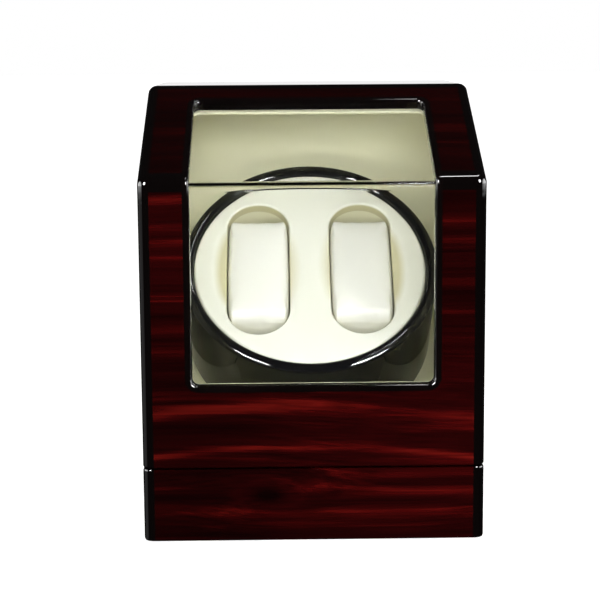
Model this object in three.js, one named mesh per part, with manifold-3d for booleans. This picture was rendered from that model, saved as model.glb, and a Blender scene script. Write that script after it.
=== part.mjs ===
// Watch winder box for two watches: a lacquered case with a hinged windowed lid, and inside it a
// motor-driven turntable, tilted 45 degrees, that carries two watch pillows.
// Millimetres. +X is to the right, +Y to the rear, +Z up. The origin is under the middle of the case.
import * as THREE from 'three';
import { mergeVertices } from 'three/addons/utils/BufferGeometryUtils.js';
import Module from 'manifold-3d';

const wasm = await Module();
wasm.setup();

// Case
const WIDTH = 180;
const DEPTH = 180;
const TOP_HEIGHT = 237;
const BEND_HEIGHT = 192;
const SLOPE_RUN = 94;
const EDGE_RADIUS = 5;
const SEAM_EDGE_RADIUS = 1.2;
const GAP = 0.3;

// Base
const FELT_THICKNESS = 1.2;
const FELT_WIDTH = 172;
const FELT_CORNER = 4;
const FOOT_HEIGHT = 0.3;
const BASE_TOP = 39.5;
const BASE_WALL = 10;
const BOTTOM_BOARD = 5;
const DECK_THICKNESS = 4;
const POST_SIZE = 14;

// Lid
const SEAM_GAP = 0.4;
const LID_BOTTOM = BASE_TOP + SEAM_GAP;
const LID_WALL = 9;
const LINING_THICKNESS = 1.5;
const HINGE_OFFSET = 3;
const HINGE_Y = DEPTH / 2 + HINGE_OFFSET;
const HINGE_Z = BASE_TOP + SEAM_GAP / 2;
const HINGE_X = 50;

// Window
const WINDOW_HALF_WIDTH = 63.3;
const WINDOW_BOTTOM = 84;
const WINDOW_SLOPE_LENGTH = 85.2;
const WINDOW_CORNER = 3.5;
const PANE_DEPTH = 6;
const PANE_THICKNESS = 3;
const PANE_BORDER = 4;
const PANE_BEND = 3;

// Turntable, in its own tilted frame: local +Z is the spin axis, pointing out of the drum's mouth
const TILT = Math.PI / 4;
const FACE_Y = -18;
const FACE_Z = 136.5;
const DRUM_RADIUS = 71;
const DRUM_DEPTH = 62;
const HUB_HEIGHT = 14;
const INSERT_RADIUS = 64.7;
const INSERT_THICKNESS = 6;
const POCKET_X = 28.8;
const POCKET_RADIUS = 17.5;
const POCKET_LENGTH = 90.4;
const POCKET_DEPTH = 40;
const POCKET_WALL = 1.5;
const PILLOW_WIDTH = 32;
const PILLOW_LENGTH = 70;
const PILLOW_HEIGHT = 38;
const PILLOW_PROUD = 0.5;
const PILLOW_PADDING = 13;
const PILLOW_CORNER = 6;
const PILLOW_EDGE = 3;
const CORE_CORNER = 5;

// Platform that carries the turntable
const PLATFORM_DEPTH = 66;
const PLATFORM_THICKNESS = 8;
const PLATFORM_HALF_WIDTH = 78;
const PLATFORM_REAR = 76;
const PANEL_THICKNESS = 6;

// Drive
const SHAFT_RADIUS = 4;
const BUSH_CLEARANCE = 0.06;
const DRUM_PULLEY_PITCH = 28;
const MOTOR_PULLEY_PITCH = 7;
const MOTOR_X = -46;
const MOTOR_Y = -6;
const BELT_SIZE = 2.4;
const BELT_Z = -20;

// Rear panel fittings
const FITTING_Z = 21;
const KNOB_X = -30;
const JACK_X = 30;

// Facets round a circle: the drum, pulleys and shaft, small parts, and screws
const ROUND = 48;
const MEDIUM = 32;
const SMALL = 16;
const SCREW = 8;

// ---------- solids ----------

function toSolid(geometry) {
  const bare = new THREE.BufferGeometry();
  bare.setAttribute('position', geometry.getAttribute('position').clone());
  if (geometry.index) {
    bare.setIndex(geometry.index.clone());
  }
  const merged = mergeVertices(bare, 1e-4);
  const points = merged.getAttribute('position').array;
  const corners = merged.index.array;
  const kept = [];
  let volume = 0;
  const [a, b, c] = [new THREE.Vector3(), new THREE.Vector3(), new THREE.Vector3()];
  for (let i = 0; i < corners.length; i += 3) {
    const [p, q, r] = [corners[i], corners[i + 1], corners[i + 2]];
    if (p === q || q === r || r === p) {
      continue;
    }
    kept.push(p, q, r);
    a.fromArray(points, p * 3);
    b.fromArray(points, q * 3);
    c.fromArray(points, r * 3);
    volume += a.dot(b.cross(c));
  }
  if (volume < 0) {
    kept.reverse();
  }
  return new wasm.Manifold(new wasm.Mesh({
    numProp: 3,
    vertProperties: new Float32Array(points),
    triVerts: new Uint32Array(kept),
  }));
}

function toGeometry(body) {
  const mesh = body.getMesh();
  const geometry = new THREE.BufferGeometry();
  geometry.setAttribute('position', new THREE.BufferAttribute(mesh.vertProperties, 3));
  geometry.setIndex(new THREE.BufferAttribute(mesh.triVerts, 1));
  geometry.computeVertexNormals();
  return geometry;
}

function box(low, high) {
  const size = high.map((value, i) => value - low[i]);
  const middle = high.map((value, i) => (value + low[i]) / 2);
  return toSolid(new THREE.BoxGeometry(...size).translate(...middle));
}

// A round bar along local Z
function rod(radius, low, high, x = 0, y = 0, sides = SMALL) {
  const bar = new THREE.CylinderGeometry(radius, radius, high - low, sides);
  return toSolid(bar.rotateX(Math.PI / 2).translate(x, y, (low + high) / 2));
}

// A round bar along Y
function crossRod(radius, low, high, x, z, sides = SMALL) {
  const bar = new THREE.CylinderGeometry(radius, radius, high - low, sides);
  return toSolid(bar.translate(x, (low + high) / 2, z));
}

// A body turned about local Z from [radius, height] points; a profile off the axis closes on itself
function turned(profile, sides = SMALL) {
  const points = profile.map(([radius, height]) => new THREE.Vector2(radius, height));
  const onAxis = profile[0][0] === 0 && profile.at(-1)[0] === 0;
  if (!onAxis) {
    points.push(points[0].clone());
  }
  return toSolid(new THREE.LatheGeometry(points, sides).rotateX(Math.PI / 2));
}

// Corner points of a closed outline, with each corner rounded to its radius
function roundedOutline(corners, radii, steps = 4) {
  const points = [];
  corners.forEach((corner, i) => {
    const here = new THREE.Vector2(...corner);
    const radius = Array.isArray(radii) ? radii[i] : radii;
    if (radius === 0) {
      points.push(here);
      return;
    }
    const before = new THREE.Vector2(...corners.at(i - 1)).sub(here).normalize();
    const after = new THREE.Vector2(...corners[(i + 1) % corners.length]).sub(here).normalize();
    const half = Math.acos(before.dot(after)) / 2;
    const inward = before.clone().add(after).normalize();
    const centre = here.clone().addScaledVector(inward, radius / Math.sin(half));
    const start = here.clone().addScaledVector(before, radius / Math.tan(half)).sub(centre);
    const end = here.clone().addScaledVector(after, radius / Math.tan(half)).sub(centre);
    const sweep = Math.atan2(start.cross(end), start.dot(end));
    for (let k = 0; k <= steps; k += 1) {
      points.push(start.clone().rotateAround(new THREE.Vector2(), (sweep * k) / steps).add(centre));
    }
  });
  return new THREE.Shape(points);
}

// An outline in X and Y, raised from low to high
function prism(outline, low, high, edge = 0) {
  const geometry = new THREE.ExtrudeGeometry(outline, {
    depth: high - low - 2 * edge,
    bevelEnabled: edge > 0,
    bevelThickness: edge,
    bevelSize: edge,
    bevelOffset: -edge,
    bevelSegments: 2,
    curveSegments: 10,
  });
  return toSolid(geometry.translate(0, 0, low + edge));
}

// An outline in Y and Z, carried across X from -half to +half
function sidePrism(outline, half, edge = 0, middle = 0) {
  const geometry = new THREE.ExtrudeGeometry(outline, {
    depth: 2 * (half - edge),
    bevelEnabled: edge > 0,
    bevelThickness: edge,
    bevelSize: edge,
    bevelOffset: -edge,
    bevelSegments: 3,
  });
  const alongX = new THREE.Matrix4().makeBasis(
    new THREE.Vector3(0, 1, 0),
    new THREE.Vector3(0, 0, 1),
    new THREE.Vector3(1, 0, 0),
  );
  return toSolid(geometry.translate(0, 0, edge - half).applyMatrix4(alongX).translate(middle, 0, 0));
}

function roundedSquare(width, depth, radius) {
  const x = width / 2;
  const y = depth / 2;
  return roundedOutline([[-x, -y], [x, -y], [x, y], [-x, y]], radius);
}

function stadium(radius, length, x) {
  const reach = length / 2 - radius;
  const shape = new THREE.Shape();
  shape.absarc(x, reach, radius, 0, Math.PI, false);
  shape.absarc(x, -reach, radius, Math.PI, 2 * Math.PI, false);
  return shape;
}

// ---------- case geometry ----------

const SLOPE = Math.atan2(TOP_HEIGHT - BEND_HEIGHT, SLOPE_RUN);
const SLOPE_LENGTH = Math.hypot(TOP_HEIGHT - BEND_HEIGHT, SLOPE_RUN);
const FRONT = -DEPTH / 2;

function bendCorner(inset) {
  return [FRONT + inset, BEND_HEIGHT - inset * Math.tan((Math.PI / 2 - SLOPE) / 2)];
}

function slopePoint(distance, inset) {
  const y = FRONT + distance * Math.cos(SLOPE) + inset * Math.sin(SLOPE);
  return [y, BEND_HEIGHT + distance * Math.sin(SLOPE) - inset * Math.cos(SLOPE)];
}

// Side outline of the case, moved inwards by the inset, down to the given height
function caseOutline(inset, bottom, radii) {
  const topFront = [FRONT + SLOPE_RUN + inset * Math.tan(SLOPE / 2), TOP_HEIGHT - inset];
  const rear = DEPTH / 2 - inset;
  const corners = [
    [FRONT + inset, bottom],
    [rear, bottom],
    [rear, TOP_HEIGHT - inset],
    topFront,
    bendCorner(inset),
  ];
  return roundedOutline(corners, radii);
}

// Side outline of a sheet bent along the front and the slope, between two insets
function bentBand(outer, inner, bottom, distance, bend = 0) {
  const corners = [
    [FRONT + outer, bottom],
    [FRONT + inner, bottom],
    bendCorner(inner),
    slopePoint(distance, inner),
    slopePoint(distance, outer),
    bendCorner(outer),
  ];
  const outerBend = bend > 0 ? bend + inner - outer : 0;
  return roundedOutline(corners, [0, 0, bend, 0, 0, outerBend]);
}

function windowOpening(margin) {
  const outline = bentBand(-8, 18, WINDOW_BOTTOM - margin, WINDOW_SLOPE_LENGTH + margin);
  return sidePrism(outline, WINDOW_HALF_WIDTH + margin, WINDOW_CORNER);
}

// ---------- scene ----------

const FINISHES = {
  veneer: { color: 0x4a0508, roughness: 0.12, metalness: 0 },
  lacquer: { color: 0x0b0504, roughness: 0.1, metalness: 0 },
  board: { color: 0xa98a63, roughness: 0.8, metalness: 0 },
  felt: { color: 0x141414, roughness: 0.95, metalness: 0 },
  leather: { color: 0xe9e4d0, roughness: 0.6, metalness: 0 },
  acrylic: { color: 0xf4f7f4, roughness: 0.02, metalness: 0 },
  blackPlastic: { color: 0x1c1c1e, roughness: 0.2, metalness: 0 },
  plastic: { color: 0x2a2a2c, roughness: 0.5, metalness: 0 },
  whitePlastic: { color: 0xd9d9d2, roughness: 0.5, metalness: 0 },
  steel: { color: 0xb9bcc0, roughness: 0.35, metalness: 1 },
  brass: { color: 0xc8a24a, roughness: 0.3, metalness: 1 },
  rubber: { color: 0x101010, roughness: 0.85, metalness: 0 },
  circuit: { color: 0x1d5a34, roughness: 0.5, metalness: 0 },
};

const winder = new THREE.Group();
const turntable = new THREE.Group();
turntable.position.set(0, FACE_Y, FACE_Z);
turntable.rotation.x = TILT;
winder.add(turntable);

// Parts of the bearing and the drive, in heights from the drum's rear face
const drive = new THREE.Group();
drive.position.z = -DRUM_DEPTH;
turntable.add(drive);

function add(parent, name, body, finish) {
  const mesh = new THREE.Mesh(toGeometry(body), new THREE.MeshStandardMaterial(FINISHES[finish]));
  mesh.name = name;
  parent.add(mesh);
  return mesh;
}

// ---------- base ----------

function buildBase() {
  const inner = WIDTH - 2 * BASE_WALL;
  const boardTop = FELT_THICKNESS + BOTTOM_BOARD;
  const deckBottom = BASE_TOP - DECK_THICKNESS;
  add(winder, 'felt_pad', prism(roundedSquare(FELT_WIDTH, FELT_WIDTH, FELT_CORNER), 0, FELT_THICKNESS), 'felt');

  const outside = roundedSquare(WIDTH, DEPTH, EDGE_RADIUS);
  const recess = roundedSquare(FELT_WIDTH + 2 * GAP, FELT_WIDTH + 2 * GAP, FELT_CORNER + GAP);
  let frame = prism(outside, FOOT_HEIGHT, BASE_TOP, SEAM_EDGE_RADIUS)
    .subtract(prism(roundedSquare(inner, inner, 0), 0, BASE_TOP + 1))
    .subtract(prism(recess, 0, FELT_THICKNESS));
  let bottom = prism(roundedSquare(inner - 2 * GAP, inner - 2 * GAP, 0), FELT_THICKNESS, boardTop);
  const post = inner / 2 - POST_SIZE / 2;
  const screwAt = [[-post, -post], [post, -post], [post, post], [-post, post]];
  screwAt.forEach(([x, y]) => {
    const half = POST_SIZE / 2;
    const block = box([x - half, y - half, boardTop + GAP], [x + half, y + half, deckBottom - GAP]);
    const overlap = box(
      [x - half + Math.sign(x), y - half + Math.sign(y), boardTop + GAP],
      [x + half + Math.sign(x), y + half + Math.sign(y), deckBottom - GAP],
    );
    frame = frame.add(block).add(overlap).subtract(rod(1.7, 0, 22, x, y, SCREW));
    bottom = bottom.subtract(rod(1.9, 0, 10, x, y, SCREW)).subtract(rod(3.6, 0, 3.6, x, y, SCREW));
  });
  frame = frame
    .subtract(rod(3.2, BASE_TOP - 3.6, BASE_TOP + 1, 0, FRONT + BASE_WALL / 2))
    .subtract(crossRod(4, 75, 95, KNOB_X, FITTING_Z))
    .subtract(crossRod(4.4, 75, 95, JACK_X, FITTING_Z));
  add(winder, 'base_frame', frame, 'veneer');
  add(winder, 'base_bottom_board', bottom, 'board');
  screwAt.forEach(([x, y], i) => {
    const screw = rod(3.3, 1.5, 3.3, 0, 0, SCREW).add(rod(1.4, 3, 20, 0, 0, SCREW));
    add(winder, `base_screw_${i + 1}`, screw, 'steel').position.set(x, y, 0);
  });

  const leadHole = rod(5, deckBottom - 1, BASE_TOP + 1, -43, 54);
  const deck = prism(roundedSquare(inner - 2 * GAP, inner - 2 * GAP, 0), deckBottom, BASE_TOP);
  add(winder, 'base_deck', deck.subtract(leadHole), 'leather');
  add(winder, 'base_magnet', rod(3, BASE_TOP - 3.3, BASE_TOP - 0.3, 0, FRONT + BASE_WALL / 2), 'steel');
}

function buildElectrics() {
  const boardBottom = 10;
  const boardTop = boardBottom + 1.6;
  let board = box([-30, -8, boardBottom], [30, 36, boardTop]);
  [[-26, -4], [26, -4], [26, 32], [-26, 32]].forEach(([x, y]) => {
    board = board.add(rod(2.5, FELT_THICKNESS + BOTTOM_BOARD + GAP, boardBottom + 0.5, x, y, SCREW));
  });
  board = board
    .add(box([-8, 4, boardTop - 0.5], [6, 12, boardTop + 2]))
    .add(box([-28, 12, boardTop - 0.5], [-20, 22, boardTop + 6]))
    .add(box([14, 16, boardTop - 0.5], [24, 24, boardTop + 6]));
  add(winder, 'control_board', board, 'circuit');

  const switchBody = box([KNOB_X - 8, 66, FITTING_Z - 8], [KNOB_X + 8, 79.7, FITTING_Z + 8])
    .add(crossRod(3.7, 79, 90, KNOB_X, FITTING_Z))
    .subtract(crossRod(2.6, 70, 95, KNOB_X, FITTING_Z));
  add(winder, 'selector_switch', switchBody, 'plastic');

  let knob = crossRod(9, 90.6, 102, 0, 0, MEDIUM)
    .add(crossRod(7.4, 101, 104, 0, 0, MEDIUM))
    .add(crossRod(2.5, 74, 92, 0, 0));
  for (let i = 0; i < 8; i += 1) {
    const angle = ((i + 0.5) * Math.PI) / 4;
    knob = knob.subtract(crossRod(1.1, 92, 103, 9.4 * Math.cos(angle), 9.4 * Math.sin(angle), 6));
  }
  knob = knob.subtract(box([-0.5, 102.8, 1], [0.5, 105, 8]));
  add(winder, 'selector_knob', knob, 'blackPlastic').position.set(KNOB_X, 0, FITTING_Z);

  const profile = [
    [0, -18], [4, -18], [4, 0.2], [6, 0.2], [6, 1.6], [5.4, 2.2], [2.8, 2.2],
    [2.8, -8], [1.05, -8], [1.05, 0], [0.6, 0.6], [0, 0.6],
  ];
  const jack = add(winder, 'dc_jack', turned(profile), 'plastic');
  jack.position.set(JACK_X, DEPTH / 2, FITTING_Z);
  jack.rotation.x = -Math.PI / 2;
  const nut = rod(6.4, 0, 3, 0, 0, 6).subtract(rod(4.3, -1, 4));
  const jackNut = add(winder, 'jack_nut', nut, 'steel');
  jackNut.position.set(JACK_X, 79.7, FITTING_Z);
  jackNut.rotation.x = Math.PI / 2;

  const leads = {
    motor_lead: [[-46, 58.7, 51.3], [-46, 61, 48.5], [-45.5, 59.5, 44], [-43, 54, 37],
      [-39, 45, 30], [-32, 33, 27.5], [-26, 22, 26], [-24, 17.5, 23], [-24, 17, 18]],
    power_lead: [[JACK_X, 71.6, FITTING_Z], [JACK_X, 66, FITTING_Z], [28, 56, 22],
      [24, 42, 25], [20, 28, 26], [19, 21, 23.5], [19, 20, 18]],
  };
  Object.entries(leads).forEach(([name, points]) => {
    const route = new THREE.CatmullRomCurve3(points.map((point) => new THREE.Vector3(...point)));
    const section = new THREE.Shape(new THREE.EllipseCurve(0, 0, 1.2, 1.2).getPoints(8).slice(0, -1));
    const tube = new THREE.ExtrudeGeometry(section, { steps: 20, extrudePath: route });
    add(winder, name, toSolid(tube), 'rubber');
  });
}

// ---------- platform ----------

// Heights of the two faces of the tilted board above the Y axis: z = y + rise
const PLATFORM_RISE = FACE_Z - FACE_Y - PLATFORM_DEPTH * Math.SQRT2;
const PLATFORM_RISE_REAR = PLATFORM_RISE - PLATFORM_THICKNESS * Math.SQRT2;

function inTurntableFrame(body) {
  turntable.updateMatrixWorld(true);
  return toSolid(toGeometry(body).applyMatrix4(turntable.matrixWorld));
}

function buildPlatform() {
  const floor = BASE_TOP + GAP;
  const outline = roundedOutline([
    [floor - PLATFORM_RISE, floor],
    [floor - PLATFORM_RISE_REAR, floor],
    [PLATFORM_REAR, PLATFORM_REAR + PLATFORM_RISE_REAR],
    [PLATFORM_REAR, PLATFORM_REAR + PLATFORM_RISE],
  ], 0);
  const front = -PLATFORM_DEPTH;
  const rear = front - PLATFORM_THICKNESS;
  let board = sidePrism(outline, PLATFORM_HALF_WIDTH)
    .subtract(inTurntableFrame(rod(11.3, rear - 1, front + 1)));
  const pilots = [[-14.5, 0], [14.5, 0], [MOTOR_X, MOTOR_Y - 25.5], [MOTOR_X, MOTOR_Y + 25.5]];
  pilots.forEach(([x, y]) => {
    board = board.subtract(inTurntableFrame(rod(1.8, rear - 1, front + 1, x, y, SCREW)));
  });
  add(winder, 'platform_board', board, 'leather');

  const panelFront = PLATFORM_REAR - PANEL_THICKNESS;
  const clear = PLATFORM_RISE_REAR - 2 * GAP;
  const cheek = roundedOutline([
    [floor - clear, floor],
    [panelFront - GAP, floor],
    [panelFront - GAP, panelFront - GAP + clear],
  ], 0);
  [['left', -1], ['right', 1]].forEach(([side, sign]) => {
    const middle = sign * (PLATFORM_HALF_WIDTH - 2.5);
    add(winder, `platform_cheek_${side}`, sidePrism(cheek, 2.5, 0, middle), 'leather');
  });
  const panel = roundedOutline([
    [panelFront, floor],
    [PLATFORM_REAR, floor],
    [PLATFORM_REAR, PLATFORM_REAR + clear],
    [panelFront, panelFront + clear],
  ], 0);
  add(winder, 'platform_back', sidePrism(panel, PLATFORM_HALF_WIDTH), 'leather');
}

// ---------- bearing and drive ----------

function buildBearing() {
  const housing = turned([
    [11, -15], [11, -3.7], [18, -3.7], [18, -1.5], [7, -1.5],
    [7, -6], [5, -6], [5, -10.5], [7, -10.5], [7, -15],
  ], MEDIUM);
  let flanged = housing;
  [-14.5, 14.5].forEach((x, i) => {
    flanged = flanged
      .subtract(rod(1.8, -4, -1, x, 0, SCREW))
      .subtract(rod(3.2, -2.8, -1, x, 0, SCREW));
    const screw = rod(2.9, -1.1, 0, 0, 0, SCREW).add(rod(1.4, -9, -1, 0, 0, SCREW));
    add(drive, `housing_screw_${i + 1}`, screw, 'steel').position.set(x, 0, -1.6);
  });
  add(drive, 'bearing_housing', flanged, 'plastic');
  const bore = rod(SHAFT_RADIUS + BUSH_CLEARANCE, -3, 3, 0, 0, MEDIUM);
  const bush = rod(6.8, -2.05, 2.05, 0, 0, MEDIUM).subtract(bore);
  add(drive, 'front_bush', bush, 'brass').position.z = -3.8;
  add(drive, 'rear_bush', bush, 'brass').position.z = -12.7;
}

// Outline of a loop stretched round the two pulleys
function beltLoop(bigRadius, smallRadius) {
  const distance = Math.hypot(MOTOR_X, MOTOR_Y);
  const heading = Math.atan2(MOTOR_Y, MOTOR_X);
  const spread = Math.acos((bigRadius - smallRadius) / distance);
  const path = new THREE.Shape();
  path.absarc(0, 0, bigRadius, heading + spread, heading - spread + 2 * Math.PI, false);
  path.absarc(MOTOR_X, MOTOR_Y, smallRadius, heading - spread, heading + spread, false);
  return path;
}

function pulleyProfile(bore, pitch, flange) {
  const groove = pitch - BELT_SIZE / 2 - GAP;
  const half = BELT_SIZE / 2 + 0.4;
  return [
    [bore, BELT_Z - 3.6], [flange, BELT_Z - 3.6], [flange, BELT_Z - half - 0.6], [groove, BELT_Z - half],
    [groove, BELT_Z + half], [flange, BELT_Z + half + 0.6], [flange, BELT_Z + 3.6], [bore, BELT_Z + 3.6],
  ];
}

function buildDrive() {
  const half = BELT_SIZE / 2;
  const loop = beltLoop(DRUM_PULLEY_PITCH + half, MOTOR_PULLEY_PITCH + half);
  loop.holes.push(beltLoop(DRUM_PULLEY_PITCH - half, MOTOR_PULLEY_PITCH - half));
  add(drive, 'drive_belt', prism(loop, BELT_Z - half, BELT_Z + half), 'rubber');

  const drumProfile = pulleyProfile(SHAFT_RADIUS + 0.2, DRUM_PULLEY_PITCH, DRUM_PULLEY_PITCH + 2);
  add(drive, 'drum_pulley', turned(drumProfile, MEDIUM), 'whitePlastic');
  const motorPulley = turned(pulleyProfile(2.2, MOTOR_PULLEY_PITCH, MOTOR_PULLEY_PITCH + 2));
  add(drive, 'motor_pulley', motorPulley, 'whitePlastic').position.set(MOTOR_X, MOTOR_Y, 0);
  add(drive, 'motor_shaft', rod(2, -34, -15.5), 'steel').position.set(MOTOR_X, MOTOR_Y, 0);

  const plate = -29;
  const gearboxRear = -43;
  const gearbox = rod(18, gearboxRear, plate - GAP, 0, 0, MEDIUM).subtract(rod(2.1, -36, -28));
  add(drive, 'motor_gearbox', gearbox, 'steel').position.set(MOTOR_X, MOTOR_Y, 0);
  const can = rod(12, gearboxRear - 9, gearboxRear - GAP, 0, 0, MEDIUM);
  add(drive, 'motor_can', can, 'steel').position.set(MOTOR_X, MOTOR_Y, 0);

  const foot = DRUM_DEPTH - PLATFORM_DEPTH - PLATFORM_THICKNESS - GAP;
  const hat = [
    [-30, foot], [-19.6, foot], [-19.6, plate + 1.4], [19.6, plate + 1.4], [19.6, foot], [30, foot],
    [30, foot - 1.5], [21, foot - 1.5], [21, plate], [-21, plate], [-21, foot - 1.5], [-30, foot - 1.5],
  ];
  let bracket = sidePrism(roundedOutline(hat, 0), 13).subtract(rod(3.2, plate - 1, plate + 3));
  [-25.5, 25.5].forEach((y, i) => {
    bracket = bracket.subtract(rod(1.8, foot - 3, foot + 1, 0, y, SCREW));
    const screw = rod(3, -2, 0, 0, 0, SCREW).add(rod(1.4, -0.5, 8, 0, 0, SCREW));
    add(drive, `bracket_screw_${i + 1}`, screw, 'steel')
      .position.set(MOTOR_X, MOTOR_Y + y, foot - 1.6);
  });
  add(drive, 'motor_bracket', bracket, 'steel').position.set(MOTOR_X, MOTOR_Y, 0);
}

// ---------- turntable ----------

function buildDrum() {
  add(drive, 'drum_shaft', rod(SHAFT_RADIUS, -27, 21, 0, 0, MEDIUM), 'steel');
  const clip = turned([[4.3, -26], [7, -26], [7, -24.9], [4.3, -24.9]]);
  add(drive, 'shaft_clip', clip, 'steel');
  const nut = rod(7.5, HUB_HEIGHT + GAP, HUB_HEIGHT + 6, 0, 0, 6).subtract(rod(4.3, 10, 25));
  add(drive, 'hub_nut', nut, 'steel');

  const ledge = -INSERT_THICKNESS - GAP;
  const shell = turned([
    [4.3, -DRUM_DEPTH], [DRUM_RADIUS - 2.5, -DRUM_DEPTH], [DRUM_RADIUS - 0.7, 0.7 - DRUM_DEPTH],
    [DRUM_RADIUS, 2.5 - DRUM_DEPTH], [DRUM_RADIUS, ledge], [61.5, ledge], [61.5, ledge - 3],
    [66.5, ledge - 8], [66.5, 4 - DRUM_DEPTH], [9, 4 - DRUM_DEPTH],
    [9, HUB_HEIGHT - DRUM_DEPTH], [4.3, HUB_HEIGHT - DRUM_DEPTH],
  ], ROUND);
  add(turntable, 'drum_shell', shell, 'blackPlastic');

  const inner = INSERT_RADIUS + GAP;
  const outer = DRUM_RADIUS + 0.5;
  const bezel = turned([
    [inner, -INSERT_THICKNESS], [outer, -INSERT_THICKNESS], [outer, -1], [outer - 0.5, 0.5],
    [outer - 1.6, 1.5], [(inner + outer) / 2, 1.8], [inner + 1.2, 1.4], [inner, 0.2],
  ], ROUND);
  add(turntable, 'drum_bezel', bezel, 'blackPlastic');

  const insert = rod(INSERT_RADIUS, -INSERT_THICKNESS, 0, 0, 0, ROUND);
  const cuts = [-POCKET_X, POCKET_X].map((x) => prism(stadium(POCKET_RADIUS, POCKET_LENGTH, x), -9, 3));
  add(turntable, 'insert_disc', insert.subtract(cuts[0]).subtract(cuts[1]), 'leather');

  [['left', -POCKET_X], ['right', POCKET_X]].forEach(([side, x]) => {
    const wall = POCKET_RADIUS + POCKET_WALL;
    const cup = prism(stadium(wall, POCKET_LENGTH + 2 * POCKET_WALL, 0), -POCKET_DEPTH - POCKET_WALL, ledge)
      .subtract(prism(stadium(POCKET_RADIUS, POCKET_LENGTH, 0), -POCKET_DEPTH, 0));
    add(turntable, `pocket_${side}`, cup, 'leather').position.x = x;

    const bottom = PILLOW_PROUD - PILLOW_HEIGHT;
    const middle = (bottom + PILLOW_PROUD) / 2;
    const ring = (inset) => {
      const y = PILLOW_LENGTH / 2 - inset;
      const z = PILLOW_HEIGHT / 2 - inset;
      const corners = [[-y, -z], [y, -z], [y, z], [-y, z]];
      return roundedOutline(corners, Math.max(PILLOW_CORNER - inset, CORE_CORNER));
    };
    const hollow = sidePrism(ring(PILLOW_PADDING), PILLOW_WIDTH);
    const pad = sidePrism(ring(0), PILLOW_WIDTH / 2, PILLOW_EDGE).subtract(hollow);
    add(turntable, `pillow_pad_${side}`, pad, 'leather').position.set(x, 0, middle);
    const core = sidePrism(ring(PILLOW_PADDING + GAP), PILLOW_WIDTH / 2 - 2);
    add(turntable, `pillow_core_${side}`, core, 'whitePlastic').position.set(x, 0, middle);
  });
}

// ---------- lid ----------

function buildLid() {
  const corner = EDGE_RADIUS + 0.5;
  const rounding = [0, 0, corner, corner, corner];
  const below = box([-200, -200, -100], [200, 200, LID_BOTTOM]);
  const rebate = bentBand(
    PANE_DEPTH - GAP, LID_WALL + 1,
    WINDOW_BOTTOM - PANE_BORDER - GAP, WINDOW_SLOPE_LENGTH + PANE_BORDER + GAP, PANE_BEND - 1,
  );
  const shell = sidePrism(caseOutline(0, LID_BOTTOM - 20, rounding), WIDTH / 2, EDGE_RADIUS)
    .subtract(below)
    .subtract(sidePrism(caseOutline(LID_WALL, 0, 0), WIDTH / 2 - LID_WALL))
    .subtract(windowOpening(0))
    .subtract(sidePrism(rebate, WINDOW_HALF_WIDTH + PANE_BORDER + GAP))
    .subtract(rod(3.2, 0, LID_BOTTOM + 3.6, 0, FRONT + LID_WALL / 2));
  add(winder, 'lid_shell', shell, 'veneer');
  const magnet = rod(3, LID_BOTTOM + 0.3, LID_BOTTOM + 3.3, 0, FRONT + LID_WALL / 2);
  add(winder, 'lid_magnet', magnet, 'steel');

  const paneBand = bentBand(
    PANE_DEPTH, PANE_DEPTH + PANE_THICKNESS,
    WINDOW_BOTTOM - PANE_BORDER, WINDOW_SLOPE_LENGTH + PANE_BORDER, PANE_BEND,
  );
  add(winder, 'window_pane', sidePrism(paneBand, WINDOW_HALF_WIDTH + PANE_BORDER), 'acrylic');

  const near = LID_WALL + GAP;
  const far = near + LINING_THICKNESS;
  const bottom = LID_BOTTOM + 1;
  const half = WIDTH / 2;
  const liningBend = PANE_BEND - GAP - LINING_THICKNESS;
  const frontBand = bentBand(near, far, bottom, SLOPE_LENGTH - 7, liningBend);
  add(winder, 'lining_front', sidePrism(frontBand, half - near).subtract(windowOpening(0.5)), 'leather');
  const rear = DEPTH / 2;
  const back = box([near - half, rear - far, bottom], [half - near, rear - near, TOP_HEIGHT - near]);
  add(winder, 'lining_back', back, 'leather');
  const top = box(
    [near - half, FRONT + SLOPE_RUN + 5, TOP_HEIGHT - far],
    [half - near, rear - far - GAP, TOP_HEIGHT - near],
  );
  add(winder, 'lining_top', top, 'leather');
  [['left', -1], ['right', 1]].forEach(([side, sign]) => {
    const outline = caseOutline(far + GAP, bottom, 0);
    const middle = sign * (half - near - LINING_THICKNESS / 2);
    add(winder, `lining_${side}`, sidePrism(outline, LINING_THICKNESS / 2, 0, middle), 'leather');
  });
}

// ---------- hinges ----------

function alongHinge(radius, low, high, sides = SMALL) {
  const bar = new THREE.CylinderGeometry(radius, radius, high - low, sides);
  return toSolid(bar.rotateZ(Math.PI / 2).translate((low + high) / 2, 0, 0));
}

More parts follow.
